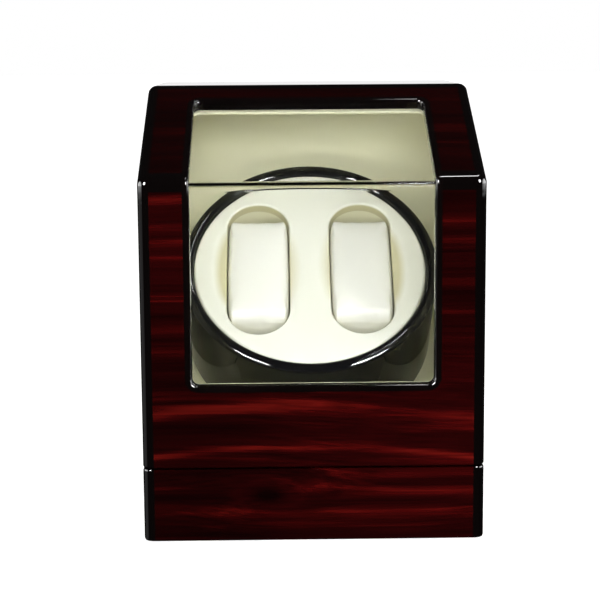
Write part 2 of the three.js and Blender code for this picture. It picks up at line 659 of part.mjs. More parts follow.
function buildHinges() {
  const knuckle = 2.6;
  const plateNear = DEPTH / 2 + 0.05 - HINGE_Y;
  const plateFar = plateNear + 1.2;
  const bore = alongHinge(1.2, -20, 20);
  const clearKnuckle = knuckle + 0.3;
  [['left', -HINGE_X], ['right', HINGE_X]].forEach(([side, x]) => {
    const middleGap = box([-5.2, -5, -clearKnuckle], [5.2, 5, clearKnuckle]);
    const baseLeaf = box([-13, plateNear, -13], [13, plateFar, 0])
      .subtract(middleGap)
      .add(alongHinge(knuckle, -13, -5.2))
      .add(alongHinge(knuckle, 5.2, 13))
      .subtract(bore);
    const sideGap = box([-20, -5, -clearKnuckle], [-4.9, 5, clearKnuckle]);
    const otherGap = box([4.9, -5, -clearKnuckle], [20, 5, clearKnuckle]);
    const lidLeaf = box([-13, plateNear, 0], [13, plateFar, 13])
      .subtract(sideGap)
      .subtract(otherGap)
      .add(alongHinge(knuckle, -4.9, 4.9))
      .subtract(bore);
    add(winder, `hinge_${side}_base_leaf`, baseLeaf, 'brass').position.set(x, HINGE_Y, HINGE_Z);
    add(winder, `hinge_${side}_lid_leaf`, lidLeaf, 'brass').position.set(x, HINGE_Y, HINGE_Z);
    const pin = alongHinge(1.1, -13.4, 13.4);
    add(winder, `hinge_${side}_pin`, pin, 'steel').position.set(x, HINGE_Y, HINGE_Z);
  });
}

buildBase();
buildElectrics();
buildPlatform();
buildBearing();
buildDrive();
buildDrum();
buildLid();
buildHinges();

export default winder;
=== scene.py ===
import math

import bmesh
import bpy
import numpy as np
from mathutils import Matrix, Vector


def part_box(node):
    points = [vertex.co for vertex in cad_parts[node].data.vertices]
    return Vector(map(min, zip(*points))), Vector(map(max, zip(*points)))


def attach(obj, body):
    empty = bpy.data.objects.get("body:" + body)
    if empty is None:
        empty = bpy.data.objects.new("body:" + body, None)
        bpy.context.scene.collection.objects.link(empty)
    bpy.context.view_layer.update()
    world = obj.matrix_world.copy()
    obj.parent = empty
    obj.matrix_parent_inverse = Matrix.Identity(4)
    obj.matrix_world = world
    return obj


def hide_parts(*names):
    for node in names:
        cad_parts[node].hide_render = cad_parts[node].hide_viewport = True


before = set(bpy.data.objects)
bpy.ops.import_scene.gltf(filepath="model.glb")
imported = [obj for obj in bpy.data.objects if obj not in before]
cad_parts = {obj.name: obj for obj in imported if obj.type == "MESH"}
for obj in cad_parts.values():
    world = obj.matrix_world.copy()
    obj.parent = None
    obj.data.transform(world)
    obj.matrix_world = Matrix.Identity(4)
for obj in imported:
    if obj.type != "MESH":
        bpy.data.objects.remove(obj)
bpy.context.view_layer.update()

# The looks of the watch winder box. Shapes are worked out in millimetres, in the part's own frame:
# X to the right, Y to the rear, Z up, and the origin under the middle of the case.
MM = 0.001


def node_box(name):
    """Lowest and highest corner of a CAD node, in millimetres."""
    low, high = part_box(name)
    return low / MM, high / MM


# Case
lid_low, lid_high = node_box("lid_shell")
HALF = lid_high.x
FRONT = lid_low.y
REAR = lid_high.y
TOP = lid_high.z
LID_BOTTOM = lid_low.z
BEND_HEIGHT = 192
SLOPE_RUN = 94
EDGE_RADIUS = 5
CORNER_RADIUS = 5.5
SEAM_RADIUS = 1.2
LID_WALL = 9
BLACK_EDGE = 6

# Window
WINDOW_HALF_WIDTH = 63.3
WINDOW_BOTTOM = 84
WINDOW_SLOPE_LENGTH = 85.2
WINDOW_CORNER = 3.5
LIP_RADIUS = 2
LACQUER_BORDER = 1.6
REBATE_DEPTH = 5.7
REBATE_BORDER = 4.3
PANE_DEPTH = 6
PANE_THICKNESS = 3
PANE_BORDER = 4
PANE_BEND = 12

# Hinges
LEAF_THICKNESS = 1.2
SCREW_RADIUS = 2.1
SCREW_DOME = 0.5
SCREW_LIFT = 0.1
SCREW_SUNK = 0.2
SCREW_STEPS = 48
SCREW_X = 8.5
SCREW_Z = 8.2
CROSS_REACH = 1.3
CROSS_HALF = 0.3
CROSS_DEPTH = 0.35

# Turntable, in its own frame: local +Z is the spin axis, out of the drum's mouth
TILT = math.pi / 4
FACE = (0, -18, 136.5)
DRUM_RADIUS = 71
DRUM_DEPTH = round((FACE[2] - node_box("drum_shell")[0].z) * math.sqrt(2) - DRUM_RADIUS)
HUB_HEIGHT = 14
BEZEL_RADIUS = DRUM_RADIUS + 0.5
INSERT_RADIUS = 64.7
INSERT_THICKNESS = 6
POCKET_X = 28.8
POCKET_RADIUS = 17.5
POCKET_LENGTH = 90.4
POCKET_DEPTH = 40
POCKET_WALL = 1.5
OUTER_SCALLOP = 3.0
INNER_SCALLOP = 1.3
SCALLOP_HALF_LENGTH = 28
SCALLOP_WIDTH = 7.6
PILLOW_WIDTH = 32
PILLOW_LENGTH = 70
PILLOW_HEIGHT = 38
PILLOW_PROUD = 0.5
PILLOW_PADDING = 13
PILLOW_CORNER = 6
CORE_CORNER = 5

TURNTABLE = Matrix.Translation(FACE) @ Matrix.Rotation(TILT, 4, "X")


# ---------- node trees ----------

def node(tree, kind, inputs=None, **settings):
    """A new node; an input given a socket is linked, and any other value is set."""
    made = tree.nodes.new(kind)
    for key, value in settings.items():
        setattr(made, key, value)
    for key, value in (inputs or {}).items():
        if isinstance(value, bpy.types.NodeSocket):
            tree.links.new(value, made.inputs[key])
        else:
            made.inputs[key].default_value = value
    return made


def maths(tree, operation, *values):
    inputs = dict(enumerate(values))
    return node(tree, "ShaderNodeMath", inputs, operation=operation).outputs[0]


def noise(tree, vector, scale, detail=2.0, roughness=0.5, distortion=0.0):
    inputs = {
        "Vector": vector,
        "Scale": scale,
        "Detail": detail,
        "Roughness": roughness,
        "Distortion": distortion,
    }
    return node(tree, "ShaderNodeTexNoise", inputs).outputs["Fac"]


def ramp(tree, value, stops):
    """A colour ramp; each stop is (position, colour), and a colour can be one grey value."""
    made = node(tree, "ShaderNodeValToRGB", {"Fac": value})
    elements = made.color_ramp.elements
    while len(elements) < len(stops):
        elements.new(0.5)
    for element, (position, colour) in zip(elements, stops):
        grey = isinstance(colour, (int, float))
        element.position = position
        element.color = (colour,) * 3 + (1,) if grey else (*colour, 1)
    return made.outputs["Color"]


def blend_colours(tree, kind, factor, first, second):
    inputs = {0: factor, 6: first, 7: second}
    for key in (6, 7):
        if isinstance(inputs[key], tuple):
            inputs[key] = (*inputs[key], 1)
    made = node(tree, "ShaderNodeMix", inputs, data_type="RGBA", blend_type=kind)
    return made.outputs[2]


def bump(tree, height, strength, distance):
    inputs = {"Height": height, "Strength": strength, "Distance": distance}
    return node(tree, "ShaderNodeBump", inputs).outputs["Normal"]


def step_between(tree, value, start, end):
    """0 before the start and 1 past the end, with a smooth step between them."""
    inputs = {"Value": value, "From Min": start, "From Max": end}
    return node(tree, "ShaderNodeMapRange", inputs, interpolation_type="SMOOTHSTEP").outputs[0]


def stretched(tree, vector, scale):
    inputs = {"Vector": vector, "Scale": scale}
    return node(tree, "ShaderNodeMapping", inputs).outputs["Vector"]


def new_material(name, **values):
    """A material with one Principled shader, its tree, and the piece's own coordinates in metres."""
    material = bpy.data.materials.new(name)
    material.use_nodes = True
    tree = material.node_tree
    shader = tree.nodes["Principled BSDF"]
    for key, value in values.items():
        socket = shader.inputs[key.replace("_", " ").title().replace("Ior", "IOR")]
        socket.default_value = (*value, 1) if isinstance(value, tuple) else value
    place = node(tree, "ShaderNodeTexCoord").outputs["Object"]
    return material, tree, shader, place


def connect(tree, shader, **sockets):
    for key, value in sockets.items():
        tree.links.new(value, shader.inputs[key.replace("_", " ")])


# ---------- materials ----------

def near_planes(tree, place, planes, width):
    """1 where a surface point lies within a width of two or more of the given planes."""
    total = None
    for normal, offset in planes:
        inputs = {0: place, 1: tuple(normal)}
        dot = node(tree, "ShaderNodeVectorMath", inputs, operation="DOT_PRODUCT").outputs["Value"]
        depth = maths(tree, "SUBTRACT", offset * MM, dot)
        soft = {"Value": depth, "From Min": (width + 0.15) * MM, "From Max": (width - 0.15) * MM}
        close = node(tree, "ShaderNodeMapRange", soft).outputs["Result"]
        total = close if total is None else maths(tree, "ADD", total, close)
    return node(tree, "ShaderNodeClamp", {"Value": maths(tree, "SUBTRACT", total, 1.0)}).outputs[0]


def grain_place(tree, place):
    """Coordinates with the grain along X, or along Y on the sides of the case."""
    normal = node(tree, "ShaderNodeTexCoord").outputs["Normal"]
    across = node(tree, "ShaderNodeSeparateXYZ", {0: normal}).outputs[0]
    side = maths(tree, "GREATER_THAN", maths(tree, "ABSOLUTE", across), 0.7)
    parts = node(tree, "ShaderNodeSeparateXYZ", {0: place}).outputs
    turned = node(tree, "ShaderNodeCombineXYZ", {0: parts[1], 1: parts[0], 2: parts[2]}).outputs[0]
    inputs = {0: side, 4: place, 5: turned}
    return node(tree, "ShaderNodeMix", inputs, data_type="VECTOR").outputs[1]


def veneer_material(name, planes, streaks=(), knot=None):
    """Rosewood veneer under clear gloss lacquer, with black lacquered edges where two planes meet."""
    material, tree, shader, place = new_material(
        name, roughness=0.5, specular_ior_level=0.0, coat_weight=1.0, coat_roughness=0.015, coat_ior=1.5,
    )
    grain = grain_place(tree, place)
    drift = noise(tree, stretched(tree, grain, (5, 9, 9)), 1.0, 0.0)
    shift = maths(tree, "MULTIPLY", maths(tree, "SUBTRACT", drift, 0.5), 0.022)
    if knot is not None:
        shift = maths(tree, "SUBTRACT", shift, knot_pull(tree, place, knot))
    offset = node(tree, "ShaderNodeCombineXYZ", {1: shift, 2: shift}).outputs[0]
    inputs = {0: grain, 1: offset}
    bent = node(tree, "ShaderNodeVectorMath", inputs, operation="ADD").outputs[0]

    bands = noise(tree, stretched(tree, bent, (2.2, 110, 110)), 1.0, 5.0, 0.55)
    for streak in streaks:
        bands = maths(tree, "ADD", bands, streak_glow(tree, place, shift, *streak))
    figure = ramp(tree, bands, [
        (0.34, (0.008, 0.0003, 0.0004)),
        (0.53, (0.0155, 0.0006, 0.0007)),
        (0.62, (0.038, 0.0012, 0.0012)),
        (0.76, (0.13, 0.006, 0.004)),
    ])
    fibres = noise(tree, stretched(tree, bent, (6, 1100, 1100)), 1.0, 2.0, 0.5)
    figure = blend_colours(tree, "MULTIPLY", 1.0, figure, ramp(tree, fibres, [(0.3, 0.6), (0.7, 1.25)]))
    clouds = noise(tree, stretched(tree, grain, (5, 13, 13)), 1.0, 1.0)
    figure = blend_colours(tree, "MULTIPLY", 1.0, figure, ramp(tree, clouds, [(0.35, 0.65), (0.65, 1.25)]))
    if knot is not None:
        core = ball(tree, place, knot, 0.4)
        tint = ramp(tree, core, [(0.0, 1.0), (0.12, 1.5), (0.35, 1.1), (0.7, 0.3)])
        figure = blend_colours(tree, "MULTIPLY", 1.0, figure, tint)
    # Painted shade: the leaf tone below makes surfaces that face up, the slope and the top, darker.
    normal = node(tree, "ShaderNodeTexCoord").outputs["Normal"]
    up = node(tree, "ShaderNodeSeparateXYZ", {0: normal}).outputs[2]
    leaf = ramp(tree, up, [(0.3, 1.0), (0.5, 0.62)])
    figure = blend_colours(tree, "MULTIPLY", 1.0, figure, leaf)
    edge = near_planes(tree, place, planes, BLACK_EDGE)
    colour = blend_colours(tree, "MIX", edge, figure, (0.0022, 0.0014, 0.0014))
    orange_peel = noise(tree, place, 160.0, 1.0)
    connect(
        tree, shader, Base_Color=colour,
        Coat_Normal=bump(tree, orange_peel, 0.03, 0.0004),
    )
    return material


def streak_glow(tree, place, shift, height, sag, width, strength):
    """A bright streak across the front that hangs down by the sag at the case's edges."""
    x, _, z = node(tree, "ShaderNodeSeparateXYZ", {0: place}).outputs
    share = maths(tree, "DIVIDE", x, HALF * MM)
    drop = maths(tree, "MULTIPLY", maths(tree, "MULTIPLY", share, share), sag)
    away = maths(tree, "SUBTRACT", maths(tree, "ADD", z, drop), height)
    away = maths(tree, "ABSOLUTE", maths(tree, "MULTIPLY_ADD", shift, 0.3, away))
    return maths(tree, "MULTIPLY", step_between(tree, away, width, 0.0), strength)


def ball(tree, place, knot, scale):
    """1 at the knot's middle, fading to 0 at its own half width and half height times the scale."""
    centre, width, height, _ = knot
    away = node(tree, "ShaderNodeVectorMath", {0: place, 1: centre}, operation="SUBTRACT").outputs[0]
    inputs = {"Vector": away, "Scale": (1 / width / scale, 0, 1 / height / scale)}
    shrunk = node(tree, "ShaderNodeMapping", inputs).outputs[0]
    return node(tree, "ShaderNodeTexGradient", {0: shrunk}, gradient_type="QUADRATIC_SPHERE").outputs["Fac"]


def knot_pull(tree, place, knot):
    """How far the grain is pushed up above a knot, and down below it."""
    centre, _, _, strength = knot
    z = node(tree, "ShaderNodeSeparateXYZ", {0: place}).outputs[2]
    above = maths(tree, "SUBTRACT", z, centre[2])
    return maths(tree, "MULTIPLY", maths(tree, "MULTIPLY", ball(tree, place, knot, 1.0), strength), above)


def lacquer_material():
    material, tree, shader, place = new_material(
        "black_lacquer", roughness=0.4, specular_ior_level=0.0,
        coat_weight=1.0, coat_roughness=0.015, coat_ior=1.5,
    )
    patches = noise(tree, place, 60.0, 3.0)
    mottle = ramp(tree, patches, [(0.3, (0.0018, 0.0012, 0.0012)), (0.7, (0.0034, 0.002, 0.002))])
    connect(
        tree, shader, Base_Color=mottle,
        Coat_Normal=bump(tree, noise(tree, place, 160.0, 1.0), 0.03, 0.0004),
    )
    return material


def leather_material(name, light, dark, grain=1.0, painted_hollow_shade=False):
    """Fine-grained cream leatherette; on the disc, painted shade makes it yellower and darker down in its
    recesses.
    """
    material, tree, shader, place = new_material(name, roughness=0.55, sheen_weight=0.15, sheen_roughness=0.5)
    pebbles = node(
        tree, "ShaderNodeTexVoronoi", {"Vector": place, "Scale": 1500.0 * grain},
        feature="SMOOTH_F1",
    ).outputs["Distance"]
    creases = noise(tree, place, 420.0 * grain, 4.0, 0.65)
    height = maths(tree, "ADD", maths(tree, "MULTIPLY", pebbles, 0.6), creases)
    tone = noise(tree, place, 22.0, 3.0)
    colour = ramp(tree, tone, [(0.3, dark), (0.7, light)])
    if painted_hollow_shade:
        # Painted shade: below the disc's face the colour turns to a dark yellow, in the scallops and the
        # pockets' mouths.
        inputs = {0: place, 1: tuple(TURNTABLE.col[2][:3])}
        level = node(tree, "ShaderNodeVectorMath", inputs, operation="DOT_PRODUCT").outputs["Value"]
        face = TURNTABLE.col[2].to_3d().dot(Vector(FACE)) * MM
        down = {"Value": level, "From Min": face - 0.2 * MM, "From Max": face - 1.8 * MM}
        depth = node(tree, "ShaderNodeMapRange", down).outputs[0]
        colour = blend_colours(tree, "MIX", depth, colour, (0.60, 0.565, 0.35))
    fine = ramp(tree, pebbles, [(0.0, 1.0), (0.8, 0.955)])
    rough = ramp(tree, creases, [(0.35, 0.48), (0.65, 0.62)])
    connect(
        tree, shader,
        Base_Color=blend_colours(tree, "MULTIPLY", 1.0, colour, fine),
        Roughness=rough,
        Normal=bump(tree, height, 0.22, 0.0002),
    )
    return material


def acrylic_material():
    """Clear acrylic that lets lamps and the case's own soft light through."""
    material, tree, shader, _ = new_material(
        "acrylic_clear", base_color=(0.985, 0.992, 0.98), roughness=0.0, ior=1.49, transmission_weight=1.0,
    )
    path = node(tree, "ShaderNodeLightPath").outputs
    through = maths(tree, "MAXIMUM", path["Is Shadow Ray"], path["Is Diffuse Ray"])
    clear = node(tree, "ShaderNodeBsdfTransparent", {"Color": (0.95, 0.955, 0.94, 1)}).outputs[0]
    mixed = node(tree, "ShaderNodeMixShader", {0: through, 1: shader.outputs[0], 2: clear}).outputs[0]
    tree.links.new(mixed, tree.nodes["Material Output"].inputs["Surface"])
    return material


def plastic_material(name, colour, roughness, scratches=0.03, grain=300.0, coat=0.0, shine=0.5):
    """Moulded plastic with a slight texture and hazy wear."""
    material, tree, shader, place = new_material(
        name, base_color=colour, specular_ior_level=shine, coat_weight=coat, coat_roughness=0.03,
    )
    haze = noise(tree, place, 45.0, 4.0, 0.6)
    rough = ramp(tree, haze, [(0.3, max(roughness - 0.04, 0.02)), (0.7, roughness + 0.05)])
    shade = ramp(tree, haze, [(0.3, tuple(0.88 * c for c in colour)), (0.7, colour)])
    connect(
        tree, shader, Base_Color=shade, Roughness=rough,
        Normal=bump(tree, noise(tree, place, grain, 2.0), scratches, 0.0003),
    )
    return material


def metal_material(name, colour, roughness, along=(900, 60, 900)):
    """Brushed or turned metal with fine directional scratches."""
    material, tree, shader, place = new_material(name, base_color=colour, metallic=1.0)
    lines = noise(tree, stretched(tree, place, along), 1.0, 3.0)
    tarnish = noise(tree, place, 120.0, 3.0)
    rough = ramp(tree, lines, [(0.3, roughness - 0.07), (0.7, roughness + 0.1)])
    shade = ramp(tree, tarnish, [(0.25, tuple(0.72 * c for c in colour)), (0.65, colour)])
    connect(
        tree, shader, Base_Color=shade, Roughness=rough,
        Normal=bump(tree, lines, 0.08, 0.0002),
    )
    return material


def fibre_material(name, light, dark, scale, height, roughness=0.9):
    """Felt, raw fibreboard and rubber: a matt surface with fine fibres or grains."""
    material, tree, shader, place = new_material(name, roughness=roughness, sheen_weight=0.2)
    grains = noise(tree, place, scale, 6.0, 0.7)
    patches = noise(tree, place, scale / 20, 3.0)
    value = maths(tree, "MULTIPLY_ADD", grains, 0.7, maths(tree, "MULTIPLY", patches, 0.3))
    connect(
        tree, shader, Base_Color=ramp(tree, value, [(0.35, dark), (0.65, light)]),
        Normal=bump(tree, grains, 0.6, height),
    )
    return material


def circuit_material():
    """Green circuit board with solder-resist traces."""
    material, tree, shader, place = new_material("circuit_board", roughness=0.35, coat_weight=0.4)
    cells = node(
        tree, "ShaderNodeTexVoronoi", {"Vector": place, "Scale": 260.0},
        distance="MANHATTAN", feature="DISTANCE_TO_EDGE",
    ).outputs["Distance"]
    connect(
        tree, shader,
        Base_Color=ramp(tree, cells, [(0.05, (0.05, 0.17, 0.06)), (0.09, (0.008, 0.07, 0.025))]),
        Normal=bump(tree, cells, 0.1, 0.0002),
    )
    return material


SLOPE = math.atan2(TOP - BEND_HEIGHT, SLOPE_RUN)
SLOPE_NORMAL = (0, -math.sin(SLOPE), math.cos(SLOPE))
SIDE_PLANES = [((1, 0, 0), HALF), ((-1, 0, 0), HALF), ((0, -1, 0), -FRONT), ((0, 1, 0), REAR)]
SLOPE_OFFSET = Vector(SLOPE_NORMAL).dot((0, FRONT, BEND_HEIGHT))
TOP_VENEER = 4
LID_PLANES = SIDE_PLANES + [((0, 0, 1), TOP + TOP_VENEER), (SLOPE_NORMAL, SLOPE_OFFSET)]

# Bright streaks low on the lid: height, sag towards the edges, half width and strength; in metres
STREAKS = [(0.072, 0.005, 0.006, 0.22), (0.0505, 0.005, 0.0035, 0.2)]
# The knot in the base: its middle, half width and half height, in metres, and how hard it bends the grain
KNOT = ((-0.024, -0.09, 0.025), 0.07, 0.03, 0.9)

MATERIALS = {
    "veneer_lid": veneer_material("veneer_lid", LID_PLANES, STREAKS),
    "veneer_base": veneer_material("veneer_base", SIDE_PLANES, knot=KNOT),
    "lacquer": lacquer_material(),
    "cream": leather_material("leather_cream", (0.86, 0.865, 0.79), (0.83, 0.835, 0.75), painted_hollow_shade=True),
    "pillow": leather_material("leather_pillow", (0.87, 0.87, 0.83), (0.84, 0.84, 0.79), 0.8),
    "lining": leather_material("leather_lining", (0.9, 0.88, 0.64), (0.86, 0.84, 0.6), 0.9),
    "pocket": leather_material("leather_pocket", (0.84, 0.82, 0.62), (0.80, 0.78, 0.58), 0.9),
    "acrylic": acrylic_material(),
    "gloss": plastic_material("black_gloss_plastic", (0.005, 0.005, 0.006), 0.35, 0.01, coat=1.0, shine=0.0),
    "black": plastic_material("black_plastic", (0.018, 0.018, 0.02), 0.42, 0.12, 900.0),
    "white": plastic_material("white_plastic", (0.68, 0.68, 0.64), 0.45),
    "steel": metal_material("steel_brushed", (0.56, 0.57, 0.58), 0.3),
    "brass": metal_material("brass_polished", (0.72, 0.5, 0.18), 0.22),
    "rubber": fibre_material("rubber_black", (0.02, 0.02, 0.02), (0.011, 0.011, 0.011), 900.0, 0.0002, 0.75),
    "felt": fibre_material("felt_black", (0.032, 0.032, 0.034), (0.008, 0.008, 0.009), 1100.0, 0.0006),
    "board": fibre_material("board_raw", (0.42, 0.29, 0.17), (0.27, 0.18, 0.1), 500.0, 0.0003),
    "circuit": circuit_material(),
}


# ---------- mesh helpers ----------

def make_piece(name, body, surfaces, replaced=(), place=None, sharp=38):
    """A mesh from surfaces, a list of (points, faces, finish) in millimetres, welded where they meet."""
    points, faces, indices = [], [], []
    finishes = list(dict.fromkeys(finish for _, _, finish in surfaces))
    for some_points, some_faces, finish in surfaces:
        start = len(points)
        points += some_points
        faces += [[start + i for i in face] for face in some_faces]
        indices += [finishes.index(finish)] * len(some_faces)
    mesh = bpy.data.meshes.new(name)
    mesh.from_pydata([tuple(p) for p in points], [], faces)
    mesh.polygons.foreach_set("material_index", indices)
    bm = bmesh.new()
    bm.from_mesh(mesh)
    bmesh.ops.remove_doubles(bm, verts=bm.verts, dist=1e-4)
    bmesh.ops.dissolve_degenerate(bm, edges=bm.edges, dist=1e-4)
    bmesh.ops.recalc_face_normals(bm, faces=bm.faces)
    bm.to_mesh(mesh)
    bm.free()
    matrix = Matrix.Scale(MM, 4) if place is None else Matrix.Scale(MM, 4) @ place
    mesh.transform(matrix)
    for finish in finishes:
        mesh.materials.append(MATERIALS[finish])
    mesh.polygons.foreach_set("use_smooth", [True] * len(mesh.polygons))
    mesh.set_sharp_from_angle(angle=math.radians(sharp))
    piece = bpy.data.objects.new(name, mesh)
    bpy.context.scene.collection.objects.link(piece)
    weighted = piece.modifiers.new("weighted_normals", "WEIGHTED_NORMAL")
    weighted.keep_sharp = True
    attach(piece, body)
    if replaced:
        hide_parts(*replaced)
    return piece


def bridge(loops, closed=True):
    """Quads between each loop of points and the next. Returns the points and the faces."""
    count = len(loops[0])
    points = [point for loop in loops for point in loop]
    faces = []
    for row in range(len(loops) - 1):
        for i in range(count if closed else count - 1):
            a = row * count + i
            b = row * count + (i + 1) % count
            faces.append([a, b, b + count, a + count])
    return points, faces


def turned(profile, steps):
    """A closed surface turned about local Z from a closed profile of (radius, height) points."""
    loops = []
    for k in range(steps + 1):
        angle = 2 * math.pi * k / steps
        loops.append([(r * math.cos(angle), r * math.sin(angle), z) for r, z in profile])
    return bridge(loops)


def arc(centre, radius, start, end, steps):
    """Points of a circular arc, with its angles in degrees."""
    points = []
    for k in range(steps + 1):
        angle = math.radians(start + (end - start) * k / steps)
        points.append((centre[0] + radius * math.cos(angle), centre[1] + radius * math.sin(angle)))
    return points


# ---------- case geometry ----------

class Outline:
    """A side outline of straight stretches joined by arcs. A place on it is its length along it."""

    def __init__(self, corners, radius):
        self.radius = radius
        points = [Vector(corner) for corner in corners]
        along = [(b - a).normalized() for a, b in zip(points, points[1:])]
        self.turns = [math.acos(max(-1, min(1, a.dot(b)))) for a, b in zip(along, along[1:])]
        self.pieces = []
        length = 0
        for i, way in enumerate(along):
            cut_before = radius * math.tan(self.turns[i - 1] / 2) if i > 0 else 0
            cut_after = radius * math.tan(self.turns[i] / 2) if i < len(self.turns) else 0
            straight = (points[i + 1] - points[i]).length - cut_before - cut_after
            start = points[i] + way * cut_before
            self.pieces.append(("straight", length, straight, start, way, i))
            length += straight
            if i < len(self.turns):
                sweep = radius * self.turns[i]
                centre = start + way * straight + self.inward(way) * radius
                self.pieces.append(("arc", length, sweep, centre, way, i))
                length += sweep
        self.length = length

    @staticmethod
    def inward(way):
        return Vector((way.y, -way.x))

    def point(self, place, depth):
        """(y, z) at a place, moved inwards by the depth; past an arc's centre it stays on the mitre."""
        kind, start, size, anchor, way, i = next(
            (p for p in self.pieces if place <= p[1] + p[2] + 1e-9), self.pieces[-1]
        )
        if kind == "straight":
            over = max(depth - self.radius, 0)
            low = over * math.tan(self.turns[i - 1] / 2) if i > 0 else -1e9
            high = size - over * math.tan(self.turns[i] / 2) if i < len(self.turns) else 1e9
            return anchor + way * min(max(place - start, low), high) + self.inward(way) * depth
        angle = (place - start) / self.radius if depth < self.radius else self.turns[i] / 2
        reach = self.radius - depth
        if depth >= self.radius:
            reach /= math.cos(self.turns[i] / 2)
        outward = -self.inward(way)
        spun = Vector((
            outward.x * math.cos(angle) + outward.y * math.sin(angle),
            -outward.x * math.sin(angle) + outward.y * math.cos(angle),
        ))
        return anchor + spun * reach

    def stations(self, steps):
        """Places where arcs and straight stretches meet, with each arc cut into steps."""
        places = [0.0]
        for kind, start, size, *_ in self.pieces:
            count = steps if kind == "arc" else 1
            places += [start + size * (k + 1) / count for k in range(count)]
        return places

    def at_slope(self, distance):
        """The place at a distance from the sharp bend, along the second straight stretch."""
        _, start, *_ = self.pieces[2]
        return start + distance - self.radius * math.tan(self.turns[0] / 2)


LID_START = LID_BOTTOM + SEAM_RADIUS
SLOPE_TOP_Y = FRONT + SLOPE_RUN
LID_CORNERS = [(FRONT, LID_START), (FRONT, BEND_HEIGHT), (SLOPE_TOP_Y, TOP), (REAR, TOP), (REAR, LID_START)]
lid_outline = Outline(LID_CORNERS, CORNER_RADIUS)


def on_outline(outline, place, x, depth):
    y, z = outline.point(place, depth)
    return (x, y, z)


def window_loop(margin):
    """The opening's lowest and highest place, half width and corner radius, grown by the margin."""
    low = WINDOW_BOTTOM - LID_START - margin
    high = lid_outline.at_slope(WINDOW_SLOPE_LENGTH) + margin
    half = WINDOW_HALF_WIDTH + margin
    return low, high, half, WINDOW_CORNER + margin


FRAME_X = HALF - EDGE_RADIUS
CORNER_STEPS = 12
BEND_STEPS = 10
PANE_BEND_STEPS = 24


def opening_points(margin):
    """The window opening's loop, from the middle of its left side down and round."""
    low, high, half, radius = window_loop(margin)
    sides = side_places(high, low, radius)

    def corner(u, x, start):
        """A quarter arc round the corner's centre, from a starting angle in degrees."""
        return [(u + a, x + b) for b, a in arc((0, 0), radius, start, start + 90, CORNER_STEPS)]

    loop = [(u, -half) for u in sides]
    loop += corner(low + radius, -half + radius, 180)[1:]
    loop += corner(low + radius, half - radius, 270)
    loop += [(u, half) for u in reversed(sides)][1:]
    loop += corner(high - radius, half - radius, 0)[1:]
    loop += corner(high - radius, -half + radius, 90)[:-1]
    return loop


def side_places(high, low, radius):
    """Places down the opening's side: its ends, and every station of the bend between them."""
    inner = [u for u in lid_outline.stations(BEND_STEPS) if low + radius < u < high - radius]
    return [high - radius, *reversed(inner), low + radius]


def frame_points(low, high, half):
    """The rectangle round the opening, point for point with opening_points(0)."""
    inner_low, inner_high, inner_half, radius = window_loop(0)
    sides = side_places(inner_high, inner_low, radius)
    middle = CORNER_STEPS // 2
    side_low = inner_low + radius
    side_high = inner_high - radius
    edge = inner_half - radius

    def corner(side, end, from_side):
        """Points from the side to the end of the rectangle, past its corner."""
        sign = math.copysign(1, side)
        points = []
        for k in range(CORNER_STEPS + 1):
            share = k / middle
            if k <= middle:
                points.append((from_side + (end - from_side) * share, side))
            else:
                points.append((end, side - (side - sign * edge) * (share - 1)))
        return points

    loop = [(u, -half) for u in sides]
    loop += corner(-half, low, side_low)[1:]
    loop += list(reversed(corner(half, low, side_low)))
    loop += [(u, half) for u in reversed(sides)][1:]
    loop += corner(half, high, side_high)[1:]
    loop += list(reversed(corner(-half, high, side_high)))[:-1]
    return loop


